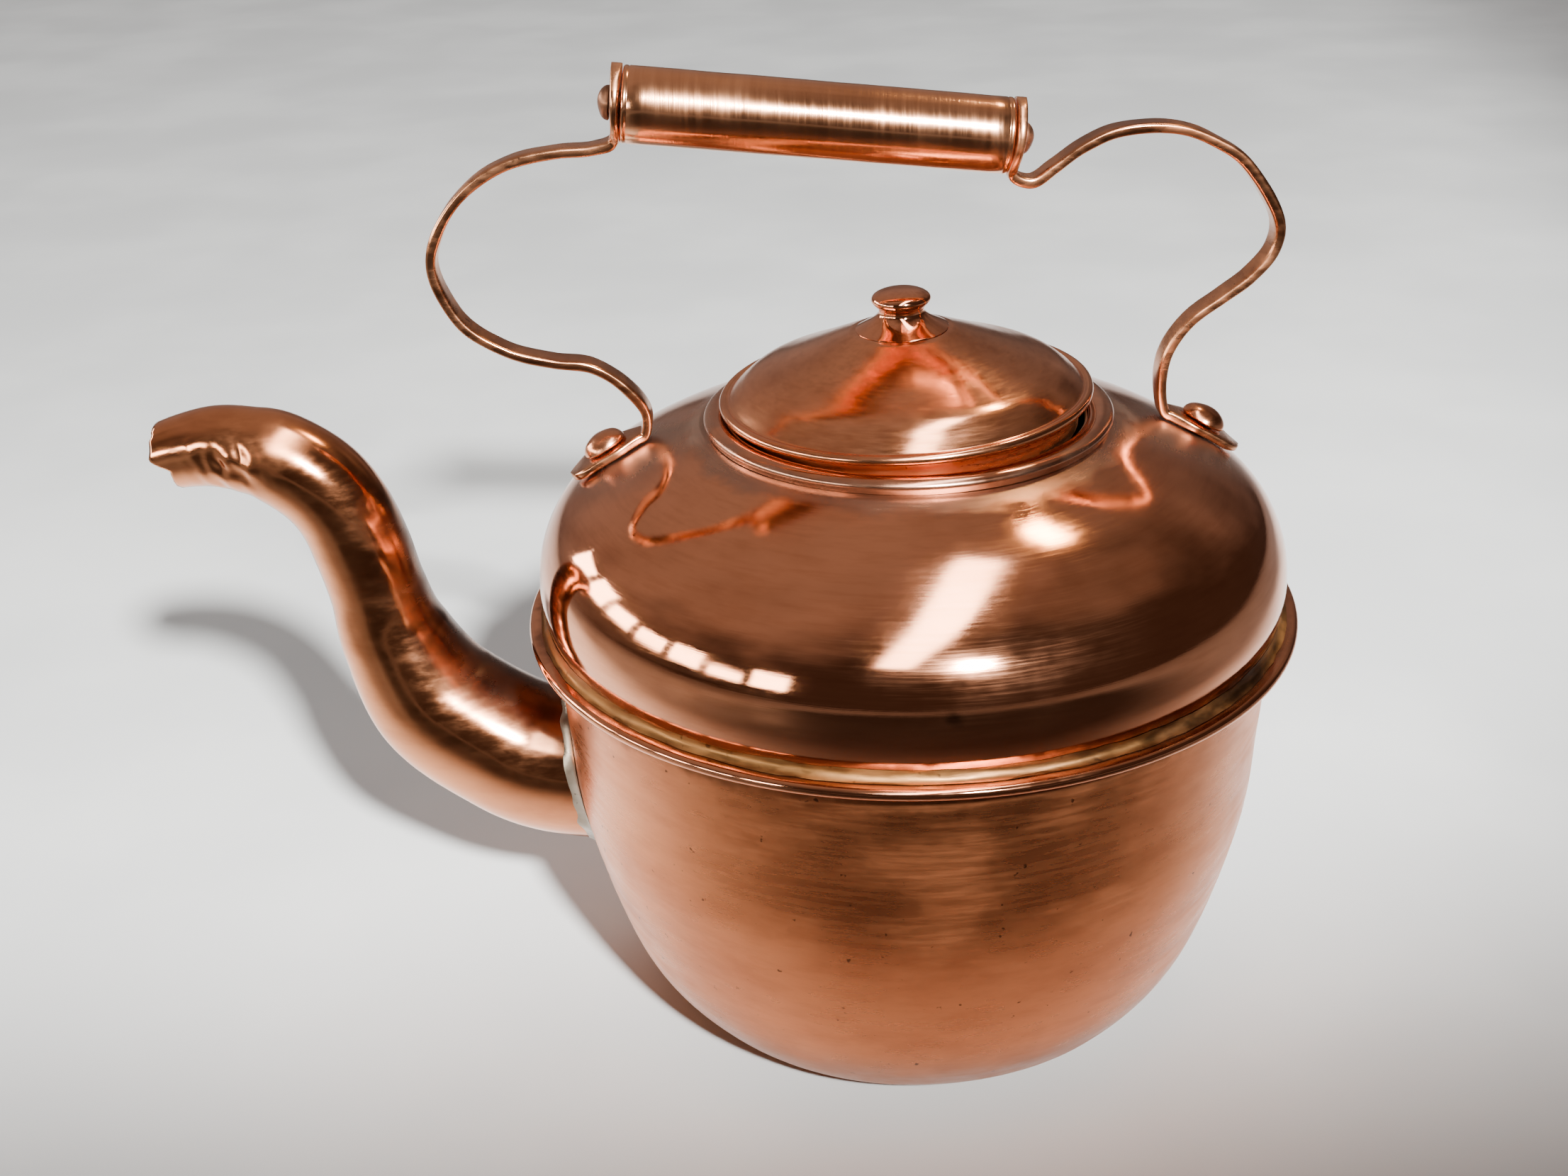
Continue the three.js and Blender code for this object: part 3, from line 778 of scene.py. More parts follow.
LINING = Metal(
    name="tin_lining",
    colour=(0.56, 0.54, 0.50),
    deep=(0.30, 0.28, 0.25),
    darkening=0.6,
    roughness=(0.32, 0.5),
    grain=Grain.CROSSED,
    lines=500.0,
    depth=0.03 * MM,
    ripple=0.15 * MM,
    specks=0.2,
)
ROD = Metal(
    name="rod_iron",
    colour=(0.28, 0.13, 0.075),
    deep=(0.08, 0.035, 0.02),
    darkening=0.8,
    roughness=(0.3, 0.5),
    grain=Grain.CROSSED,
    lines=900.0,
    depth=0.03 * MM,
    ripple=0.2 * MM,
    specks=0.4,
)


class Shop:
    """Makes each finish once, when a piece first asks for it."""

    def __init__(self) -> None:
        """Starts with no materials."""
        self.made: dict[str, bpy.types.Material] = {}

    def finish(self, metal: Metal) -> bpy.types.Material:
        """The material of a finish.

        Args:
            metal: The finish.

        Returns:
            Its material, made at the first call.
        """
        if metal.name not in self.made:
            self.made[metal.name] = metal.build()
        return self.made[metal.name]


# ---- Meshes ----


def revolve(outline: Outline, steps: int = ROUND_STEPS) -> bmesh.types.BMesh:
    """A solid of revolution about Z.

    Args:
        outline: The section, as (radius, height) pairs. It closes on itself or starts and ends
            on the axis.
        steps: How many facets go round.

    Returns:
        The closed mesh.
    """
    mesh = bmesh.new()
    corners = [mesh.verts.new((radius, 0, height)) for radius, height in outline]
    edges = [mesh.edges.new(pair) for pair in zip(corners, corners[1:])]
    if outline[0][0] > 1e-7:
        edges.append(mesh.edges.new((corners[-1], corners[0])))
    bmesh.ops.spin(
        mesh,
        geom=corners + edges,
        cent=(0, 0, 0),
        axis=(0, 0, 1),
        angle=math.tau,
        steps=steps,
        use_merge=True,
        use_duplicate=False,
    )
    bmesh.ops.remove_doubles(mesh, verts=mesh.verts, dist=1e-7)
    bmesh.ops.recalc_face_normals(mesh, faces=mesh.faces)
    return mesh


def sweep(
    rings: int, sides: int, point: Callable[[int, int], Vector], close: bool = True
) -> bmesh.types.BMesh:
    """A tube that is drawn out ring by ring.

    Args:
        rings: How many rings there are.
        sides: How many points each ring has.
        point: Gives the place of a point from its ring and its number in the ring.
        close: Whether the two ends are filled.

    Returns:
        The mesh, facing outwards.
    """
    mesh = bmesh.new()
    number = mesh.verts.layers.int.new("number")
    circle = bmesh.ops.create_circle(mesh, segments=sides, radius=1.0, cap_ends=False)
    for index, corner in enumerate(circle["verts"]):
        corner[number] = index
        corner.co = point(0, index)
    edges = list(mesh.edges)
    first = edges
    for ring in range(1, rings):
        drawn = bmesh.ops.extrude_edge_only(mesh, edges=edges)["geom"]
        for part in drawn:
            if isinstance(part, bmesh.types.BMVert):
                part.co = point(ring, part[number])
        edges = [part for part in drawn if isinstance(part, bmesh.types.BMEdge)]
        edges = [edge for edge in edges if all(corner in drawn for corner in edge.verts)]
    if close:
        bmesh.ops.edgeloop_fill(mesh, edges=first)
        bmesh.ops.edgeloop_fill(mesh, edges=edges)
    bmesh.ops.recalc_face_normals(mesh, faces=mesh.faces)
    mesh.verts.layers.int.remove(number)
    return mesh


def washer_section(bore: float, radius: float, top: float) -> Outline:
    """The section of a washer whose lower outer edge is taken off.

    Args:
        bore: Radius of its hole.
        radius: Outside of it.
        top: Height of its upper face.

    Returns:
        Its outline, as (radius, height) pairs.
    """
    under = top - BURR_THICKNESS
    return [
        (bore, under),
        (radius - 0.2 * MM, under),
        (radius, under + 0.2 * MM),
        (radius, top),
        (bore, top),
    ]


def uneven(mesh: bmesh.types.BMesh, depth: float, scale: float, seed: float = 0.0) -> None:
    """Moves a mesh's points a little along their normals, as hand work leaves them.

    Args:
        mesh: The mesh.
        depth: The most that a point moves.
        scale: How close the bumps lie, per metre.
        seed: A number that changes the pattern.
    """
    mesh.normal_update()
    moves = []
    for corner in mesh.verts:
        spot = Vector((corner.co.x * scale, corner.co.y * scale, corner.co.z * scale + seed))
        moves.append(corner.normal * noise.noise(spot) * depth)
    for corner, move in zip(mesh.verts, moves):
        corner.co += move


def finished(
    name: str,
    body: str,
    mesh: bmesh.types.BMesh,
    materials: Sequence[bpy.types.Material],
    inside_from: Vector | None = None,
    crease: float = 35.0,
) -> bpy.types.Object:
    """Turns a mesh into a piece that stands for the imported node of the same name.

    Args:
        name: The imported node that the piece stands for.
        body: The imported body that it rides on.
        mesh: The piece's shape, in place. It is used up.
        materials: The outside's material, and the lining's if there is one.
        inside_from: A point inside the hollow. Faces turned towards it get the lining.
        crease: The angle past which an edge looks sharp, in degrees.

    Returns:
        The new object.
    """
    if inside_from is not None:
        mesh.normal_update()
        for face in mesh.faces:
            if face.normal.dot(face.calc_center_median() - inside_from) < 0:
                face.material_index = 1
    data = bpy.data.meshes.new(name + "_look")
    mesh.to_mesh(data)
    mesh.free()
    data.shade_smooth()
    data.set_sharp_from_angle(angle=math.radians(crease))
    for material in materials:
        data.materials.append(material)
    piece = bpy.data.objects.new(name + "_look", data)
    bpy.context.scene.collection.objects.link(piece)
    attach(piece, body)
    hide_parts(name)
    LOG.info("%s: %d faces", name, len(data.polygons))
    return piece


# ---- Body ----


@dataclass
class Body:
    """The raised bowl, the domed shoulder, the seam between them and the neck ring.

    Attributes:
        rim_radius: Outside of the seam.
        rim_height: Underside of the seam above the table.
        collar_radius: Outside of the neck ring.
        collar_top: Top of the neck ring.
        seam_width: How far the seam stands out from the shoulder's widest part.
        swell: How far the shoulder's widest part stands out from the bowl's mouth.
        base_radius: Flat part of the base.
        shoulder_height: Shoulder, from the seam's underside to the neck.
        neck_radius: Opening in the shoulder.
        collar_width: Neck ring, from its bore to its outside.
        lip: Thickness of the lip that the shoulder folds over the bowl's flange.
    """

    rim_radius: float
    rim_height: float
    collar_radius: float
    collar_top: float
    seam_width: float = 3.5 * MM
    swell: float = 2.4 * MM
    base_radius: float = 57 * MM
    shoulder_height: float = 50 * MM
    neck_radius: float = 42.5 * MM
    collar_width: float = 6 * MM
    lip: float = 1.2 * MM

    @classmethod
    def from_frame(cls) -> "Body":
        """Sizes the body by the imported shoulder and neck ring.

        Returns:
            The body.
        """
        low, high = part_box("shoulder")
        _, ring_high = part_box("neck_collar")
        return cls(high.x, low.z, ring_high.x, ring_high.z)

    def __post_init__(self) -> None:
        """Works out the outlines of the bowl and the shoulder."""
        wide = self.rim_radius - self.seam_width
        mouth = wide - self.swell
        rim = self.rim_height
        rise = self.shoulder_height
        self.mouth = mouth
        self.lip_top = rim + 2 * SHEET + GAP
        self.bowl_outline = smooth(
            [
                (self.base_radius, 0.0),
                (mouth * 0.751, rim * 0.077),
                (mouth * 0.862, rim * 0.231),
                (mouth * 0.96, rim * 0.539),
                (mouth * 0.983, rim * 0.77),
                (mouth, rim),
            ],
            60,
        )
        self.shoulder_outline = smooth(
            [
                (wide * 0.982, self.lip_top),
                (wide, rim + rise * 0.26),
                (wide * 0.978, rim + rise * 0.458),
                (wide * 0.908, rim + rise * 0.642),
                (wide * 0.757, rim + rise * 0.824),
                (self.neck_radius + 9 * MM, rim + rise * 0.965),
                (self.neck_radius, rim + rise * 1.02),
            ],
            72,
        )

    def build(self, shop: Shop) -> None:
        """Makes the four pieces of the body.

        Args:
            shop: Makes the finishes, each one once.
        """
        self.build_bowl(shop)
        self.build_shoulder(shop)
        self.build_brazing(shop)
        self.build_collar(shop)

    def build_bowl(self, shop: Shop) -> None:
        """Makes the bowl, with its flange under the seam and its tinned inside.

        Args:
            shop: Makes the finishes, each one once.
        """
        rim = self.rim_height
        flange = self.rim_radius - self.lip - GAP
        inside = [pair for pair in offset(self.bowl_outline, -SHEET) if pair[1] > 1.5 * SHEET]
        outline = [
            (0.0, 0.6 * MM),
            (self.base_radius * 0.9, 0.45 * MM),
            (self.base_radius * 0.97, 0.0),
            *self.bowl_outline[:-1],
            (self.mouth - 0.05 * MM, rim - 0.9 * MM),
            (self.mouth + 0.35 * MM, rim - 0.2 * MM),
            (self.mouth + 1.1 * MM, rim),
            (flange, rim),
            (flange, rim + SHEET),
            (self.mouth - SHEET, rim + SHEET),
            *inside[::-1][1:],
            (self.base_radius - SHEET, SHEET + 0.6 * MM),
            (0.0, SHEET + 0.6 * MM),
        ]
        mesh = revolve(outline)
        uneven(mesh, depth=0.16 * MM, scale=26.0)
        materials = [shop.finish(SATIN), shop.finish(LINING)]
        finished("bowl", "kettle", mesh, materials, Vector((0, 0, rim + 30 * MM)))

    def build_shoulder(self, shop: Shop) -> None:
        """Makes the shoulder, with its foot folded over the bowl's flange.

        Args:
            shop: Makes the finishes, each one once.
        """
        rim = self.rim_height
        under = rim + SHEET + GAP
        nose = (self.lip_top - rim) / 2
        fold = arc((self.rim_radius - nose, rim + nose), nose, -62, 88, 14)
        outline = [
            (self.rim_radius - self.lip, under),
            (self.rim_radius - self.lip, rim + 0.1 * MM),
            *fold,
            *self.shoulder_outline,
            *offset(self.shoulder_outline, -SHEET)[::-1],
            (self.shoulder_outline[0][0] - SHEET, under),
        ]
        mesh = revolve(outline)
        uneven(mesh, depth=0.2 * MM, scale=24.0, seed=3.0)
        materials = [shop.finish(POLISHED), shop.finish(LINING)]
        inside = Vector((0, 0, rim - 40 * MM))
        finished("shoulder", "kettle", mesh, materials, inside)

    def build_brazing(self, shop: Shop) -> None:
        """Makes the uneven line of brazing in the corner above the seam.

        Args:
            shop: Makes the finishes, each one once.
        """
        foot = self.lip_top + GAP * 0.5
        width = self.seam_width * 0.62
        tall = width * 1.15
        steps = (0.0, 0.15, 0.3, 0.45, 0.6, 0.75, 0.9, 1.0)

        def wall(height: float) -> float:
            """Just off the shoulder's outside at a height."""
            return radius_at(self.shoulder_outline, height) + 0.05 * MM

        hollow = [
            (wall(foot + tall * (1 - step)) + width * step**1.7, foot + tall * (1 - step) ** 1.7)
            for step in steps
        ]
        mesh = revolve([(wall(foot), foot), *hollow[::-1]])
        uneven(mesh, depth=0.45 * MM, scale=190.0, seed=5.0)
        uneven(mesh, depth=0.3 * MM, scale=520.0, seed=6.0)
        finished("rim_solder", "kettle", mesh, [shop.finish(BRAZING)], crease=60)

    def build_collar(self, shop: Shop) -> None:
        """Makes the rounded ring that is soldered round the neck.

        Args:
            shop: Makes the finishes, each one once.
        """
        bore = self.collar_radius - self.collar_width
        edge = self.collar_radius - 0.6 * MM
        foot = height_at(self.shoulder_outline, edge) + GAP * 0.5
        half = self.collar_width / 2
        tall = self.collar_top - foot
        middle = (bore + half, foot + tall / 2)
        crown = arc(middle, half, -24, 172, 20, tall / 2 / half)
        inner = (bore, height_at(self.shoulder_outline, bore) + GAP)
        mesh = revolve([inner, (edge, foot), *crown, (bore, foot + tall * 0.52)])
        uneven(mesh, depth=0.12 * MM, scale=60.0, seed=8.0)
        finished("neck_collar", "kettle", mesh, [shop.finish(POLISHED)])


# ---- Lid ----


@dataclass
class Lid:
    """The loose lid, its locating ring and its turned knob, lying a little askew.

    Attributes:
        middle: Centre of the underside of the lid's edge.
        radius: Outside of its rolled edge.
        sheet: Thickness of its sheet.
        bead: Radius of its rolled edge.
        rise: Height of its crown above the underside of its edge.
        ring_radius: Outside of the locating ring.
        ring_depth: How far the ring reaches below the edge.
        ring_wall: Thickness of the ring.
        knob_radius: Widest part of the knob.
        knob_height: Knob above the lid's crown.
        knob_foot: Radius of the knob's flared foot.
        foot_rise: Lid's height under the edge of that foot, as a share of its rise.
        spigot: Radius of the knob's tail.
        burr_radius: Radius of the washer that the tail is closed on.
        tilt: How far the lid leans, about X and then about Y.
    """

    middle: Vector
    radius: float = 44.6 * MM
    sheet: float = 1 * MM
    bead: float = 1.2 * MM
    rise: float = 18.3 * MM
    ring_radius: float = 41 * MM
    ring_depth: float = 7 * MM
    ring_wall: float = 0.9 * MM
    knob_radius: float = 7 * MM
    knob_height: float = 8.2 * MM
    knob_foot: float = 11 * MM
    foot_rise: float = 0.935
    spigot: float = 2.6 * MM
    burr_radius: float = 6 * MM
    tilt: tuple[float, float] = (math.radians(0.6), math.radians(-1.8))

    @classmethod
    def from_frame(cls) -> "Lid":
        """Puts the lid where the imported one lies.

        Returns:
            The lid.
        """
        low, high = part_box("lid_dome")
        lean = math.hypot(*cls.tilt)
        edge = low.z + (cls.radius - cls.bead) * lean
        return cls(Vector(((low.x + high.x) / 2, (low.y + high.y) / 2, edge)))

    def __post_init__(self) -> None:
        """Works out the outline of the dome."""
        self.outline = smooth(
            [
                (self.radius - self.bead * 1.9, self.bead * 1.8),
                (self.radius * 0.89, self.rise * 0.25),
                (self.radius * 0.81, self.rise * 0.39),
                (self.radius * 0.65, self.rise * 0.545),
                (self.radius * 0.336, self.rise * 0.858),
                (self.knob_foot, self.rise * self.foot_rise),
                (self.spigot + GAP, self.rise),
            ],
            40,
        )
        self.underside = offset(self.outline, -self.sheet)
        self.burr_top = height_at(self.underside, self.burr_radius) - GAP

    def placed(self, mesh: bmesh.types.BMesh) -> bmesh.types.BMesh:
        """Tilts a mesh and puts it in the lid's place.

        Args:
            mesh: The mesh, made upright about Z.

        Returns:
            The same mesh, in place.
        """
        turn = Matrix.Rotation(self.tilt[0], 4, "X") @ Matrix.Rotation(self.tilt[1], 4, "Y")
        move = Matrix.Translation(self.middle) @ turn
        bmesh.ops.transform(mesh, matrix=move, verts=mesh.verts)
        return mesh

    def build(self, shop: Shop) -> None:
        """Makes the four pieces of the lid.

        Args:
            shop: Makes the finishes, each one once.
        """
        self.build_dome(shop)
        self.build_ring(shop)
        self.build_knob(shop)

    def build_dome(self, shop: Shop) -> None:
        """Makes the domed sheet with its rolled edge.

        Args:
            shop: Makes the finishes, each one once.
        """
        edge = arc((self.radius - self.bead, self.bead), self.bead, -110, 128, 18)
        inner = (self.radius - self.bead * 2.2, self.bead * 0.6)
        outline = [*edge, *self.outline, *self.underside[::-1][:-1], inner]
        mesh = revolve(outline)
        uneven(mesh, depth=0.16 * MM, scale=38.0, seed=11.0)
        self.placed(mesh)
        materials = [shop.finish(LID_METAL), shop.finish(LINING)]
        inside = self.middle - UP * 30 * MM
        finished("lid_dome", "lid", mesh, materials, inside, crease=50)

    def build_ring(self, shop: Shop) -> None:
        """Makes the locating ring under the lid and the washer under the knob.

        Args:
            shop: Makes the finishes, each one once.
        """
        top = height_at(self.underside, self.ring_radius) - GAP
        inner = self.ring_radius - self.ring_wall
        half = self.ring_wall / 2
        lower = arc((inner + half, half - self.ring_depth), half, -180, 0, 8)
        mesh = self.placed(revolve([*lower, (self.ring_radius, top), (inner, top)]))
        finished("lid_bezel", "lid", mesh, [shop.finish(SATIN)])
        flat = washer_section(self.spigot + GAP, self.burr_radius, self.burr_top)
        mesh = self.placed(revolve(flat, 48))
        finished("knob_burr", "lid", mesh, [shop.finish(RIVET)])

    def build_knob(self, shop: Shop) -> None:
        """Makes the turned knob, with its flared foot and the tail that holds it.

        Args:
            shop: Makes the finishes, each one once.
        """
        foot = self.rise * self.foot_rise + 0.02 * MM
        tail = self.burr_top - BURR_THICKNESS - GAP
        wide = self.knob_radius
        tall = self.knob_height
        side = smooth(
            [
                (self.knob_foot, foot + 0.05 * MM),
                (wide * 1.06, self.rise + tall * 0.10),
                (wide * 0.80, self.rise + tall * 0.30),
                (wide * 0.78, self.rise + tall * 0.46),
                (wide * 0.90, self.rise + tall * 0.58),
                (wide * 1.0, self.rise + tall * 0.70),
                (wide * 0.93, self.rise + tall * 0.83),
                (wide * 0.70, self.rise + tall * 0.93),
                (wide * 0.37, self.rise + tall * 0.985),
                (0.0, self.rise + tall),
            ],
            64,
        )
        outline = [
            (0.0, tail - 1.4 * MM),
            (self.spigot + 0.7 * MM, tail - 1.3 * MM),
            (self.spigot + 1.2 * MM, tail - 0.7 * MM),
            (self.spigot + 1.2 * MM, tail),
            (self.spigot, tail),
            (self.spigot, self.rise + GAP),
            (self.knob_foot, foot),
            *side[:-1],
            (0.0, self.rise + tall),
        ]
        mesh = self.placed(revolve(outline, 96))
        uneven(mesh, depth=0.08 * MM, scale=160.0, seed=13.0)
        finished("lid_knob", "lid", mesh, [shop.finish(POLISHED)], crease=50)


# ---- Spout ----


@dataclass
class Spout:
    """The swan-neck spout, with its hooded mouth, and the solder round its root.

    Attributes:
        body: The body that it grows from.
        reach: Tip of the spout from the kettle's axis.
        root_height: Middle of its root above the table.
        mouth_height: Middle of its mouth above the table.
        root_radius: Radius at the root.
        neck_radius: Radius at the neck.
        mouth_radius: Radius at the mouth.
        wall: Thickness of its sheet.
        hood: How far the upper lip overhangs the lower one.
    """

    body: Body
    reach: float
    root_height: float
    mouth_height: float
    root_radius: float = 19.6 * MM
    neck_radius: float = 12.2 * MM
    mouth_radius: float = 9.1 * MM
    wall: float = 1.1 * MM
    hood: float = 4.9 * MM

    @classmethod
    def from_frame(cls, body: Body) -> "Spout":
        """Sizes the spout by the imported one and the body.

        Args:
            body: The body that it grows from.

        Returns:
            The spout.
        """
        low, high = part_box("spout")
        reach = -low.x + 1 * MM
        return cls(body, reach, body.rim_height - 47 * MM, body.rim_height + 43 * MM)

    def __post_init__(self) -> None:
        """Works out the centre line and the radius along it."""
        root = self.root_radius
        neck = self.neck_radius
        mouth = self.mouth_radius
        stations = [
            (0.38, -0.015, root * 1.02),
            (0.499, 0.01, root),
            (0.575, 0.075, root * 0.957),
            (0.66, 0.217, root * 0.9),
            (0.707, 0.42, neck * 1.17),
            (0.723, 0.567, neck * 1.01),
            (0.737, 0.702, neck),
            (0.755, 0.816, neck * 0.985),
            (0.785, 0.905, neck * 0.98),
            (0.833, 0.975, neck * 0.95),
            (0.87, 0.998, neck * 0.89),
            (0.91, 1.01, mouth * 1.12),
            (0.952, 1.0, mouth * 1.02),
            (1.0, 0.975, mouth * 0.9),
        ]
        rise = self.mouth_height - self.root_height
        self.across = [-self.reach * station[0] for station in stations]
        self.heights = [self.root_height + rise * station[1] for station in stations]
        self.radii = [station[2] for station in stations]

    def point(self, place: float, angle: float, growth: float = 0.0) -> Vector:
        """A point on the spout's surface.

        Args:
            place: Where along the spout, from 0 at its root to 1 at its tip.
            angle: Which side of it: 0 is outside the bend, and a quarter turn is the far side.
            growth: How far off the surface.

        Returns:
            The point, in the kettle's frame.
        """
        middle = Vector((on_curve(self.across, place), 0, on_curve(self.heights, place)))
        step = 0.002
        ahead = Vector(
            (
                on_curve(self.across, place + step) - on_curve(self.across, place - step),
                0,
                on_curve(self.heights, place + step) - on_curve(self.heights, place - step),
            )
        ).normalized()
        side = Vector((0, 1, 0))
        out = side.cross(ahead)
        radius = on_curve(self.radii, place) + growth
        return middle + (out * math.cos(angle) + side * math.sin(angle)) * radius

    def meeting(self, angle: float, growth: float, stand: float) -> float:
        """How far along the spout its surface leaves the bowl.

        Args:
            angle: Which side of the spout.
            growth: How far off the spout's surface.
            stand: How far off the bowl's surface.

        Returns:
            The place along the spout.
        """
        near, far = 0.0, 0.3
        for _ in range(26):
            half = (near + far) / 2
            spot = self.point(half, angle, growth)
            wall = radius_at(self.body.bowl_outline, max(spot.z, 1 * MM)) + stand
            if math.hypot(spot.x, spot.y) < wall:
                near = half
            else:
                far = half
        return near

    def lip(self, angle: float) -> float:
        """How far along the spout its lip is cut, which is shorter below than above.

        Args:
            angle: Which side of the spout.

        Returns:
            The place along the spout.
        """
        near, far = 0.9, 1.0
        nick = abs(noise.noise(Vector((math.cos(angle) * 3, math.sin(angle) * 3, 2.0)))) * MM
        for _ in range(22):
            half = (near + far) / 2
            spot = self.point(half, angle)
            overhang = ease(spot.z, self.mouth_height - 2.6 * MM, self.mouth_height + 0.6 * MM)
            if -spot.x < self.reach - 1.8 * MM - self.hood * (1 - overhang) - nick:
                near = half
            else:
                far = half
        return near

    def build(self, shop: Shop) -> None:
        """Makes the spout and its solder."""
        self.build_tube(shop)
        self.build_solder(shop)

    def crumple(self, spot: Vector) -> Vector:
        """Where a point goes once the near side behind the mouth has been dented.

        Args:
            spot: The point.

        Returns:
            The moved point.
        """
        centre = Vector((-self.reach * 0.885, -self.mouth_radius, self.mouth_height - 2 * MM))
        away = spot - centre
        fade = math.exp(-((away.x / (8 * MM)) ** 2) - (away.z / (5.5 * MM)) ** 2)
        fade *= ease(-spot.y, 0.0, 6 * MM)
        fold = noise.noise(Vector((spot.x * 300, 4.0, spot.z * 210 + spot.x * 160)))
        return spot + Vector((0, 1, 0)) * fade * (0.5 + 1.9 * fold) * 0.9 * MM

    def build_tube(self, shop: Shop) -> None:
        """Makes the tube, from where it meets the bowl to the step of its hooded mouth.

        Args:
            shop: Makes the finishes, each one once.
        """
        sides = 64
        rings = 190
        turns = [math.tau * index / sides for index in range(sides)]
        starts = [self.meeting(angle, 0.0, 0.2 * MM) for angle in turns]
        ends = [self.lip(angle) for angle in turns]

        def place(ring: int, index: int) -> Vector:
            """A point of the tube from its ring and its number.

            Args:
                ring: The ring, from the root.
                index: The point in the ring.

            Returns:
                The point.
            """
            share = ring / (rings - 1)
            along = starts[index] + (ends[index] - starts[index]) * share
            return self.crumple(self.point(along, turns[index]))

        mesh = sweep(rings, sides, place, close=False)
        piece = finished(
            "spout",
            "kettle",
            mesh,
            [shop.finish(SPOUT_METAL), shop.finish(LINING)],
        )
        wall = piece.modifiers.new("wall", "SOLIDIFY")
        wall.thickness = self.wall
        wall.offset = -1
        wall.use_even_offset = True
        wall.material_offset = 1

    def build_solder(self, shop: Shop) -> None:
        """Makes the lumpy fillet of solder round the spout's root.

        Args:
            shop: Makes the finishes, each one once.
        """
        sides = 120
        section = [(2.6, 0.2), (1.0, 0.95), (0.25, 2.8), (0.05, 1.2), (0.05, 0.2)]
        turns = [math.tau * index / sides for index in range(sides)]

        def place(ring: int, index: int) -> Vector:
            """A point of the fillet from its ring and its number.

            Args:
                ring: The ring of the fillet's section.
                index: The point in the ring.

            Returns:
                The point.
            """
            growth, stand = section[ring % len(section)]
            angle = turns[index]
            lump = noise.noise(Vector((math.cos(angle) * 4, math.sin(angle) * 4, 9.0)))
            swell = 1 + 0.45 * lump
            growth = growth * (swell if growth > 0.5 else 1) * MM
            stand = stand * (swell if stand > 0.5 else 1) * MM
            return self.point(self.meeting(angle, growth, stand), angle, growth)

        mesh = sweep(len(section) + 1, sides, place, close=False)
        bmesh.ops.remove_doubles(mesh, verts=mesh.verts, dist=1e-6)
        bmesh.ops.recalc_face_normals(mesh, faces=mesh.faces)
        finished("spout_solder", "kettle", mesh, [shop.finish(SOLDER)], crease=70)


# ---- Handle ----


class Hand(Enum):
    """Which end of the handle a piece is at."""

    LEFT = -1
    RIGHT = 1


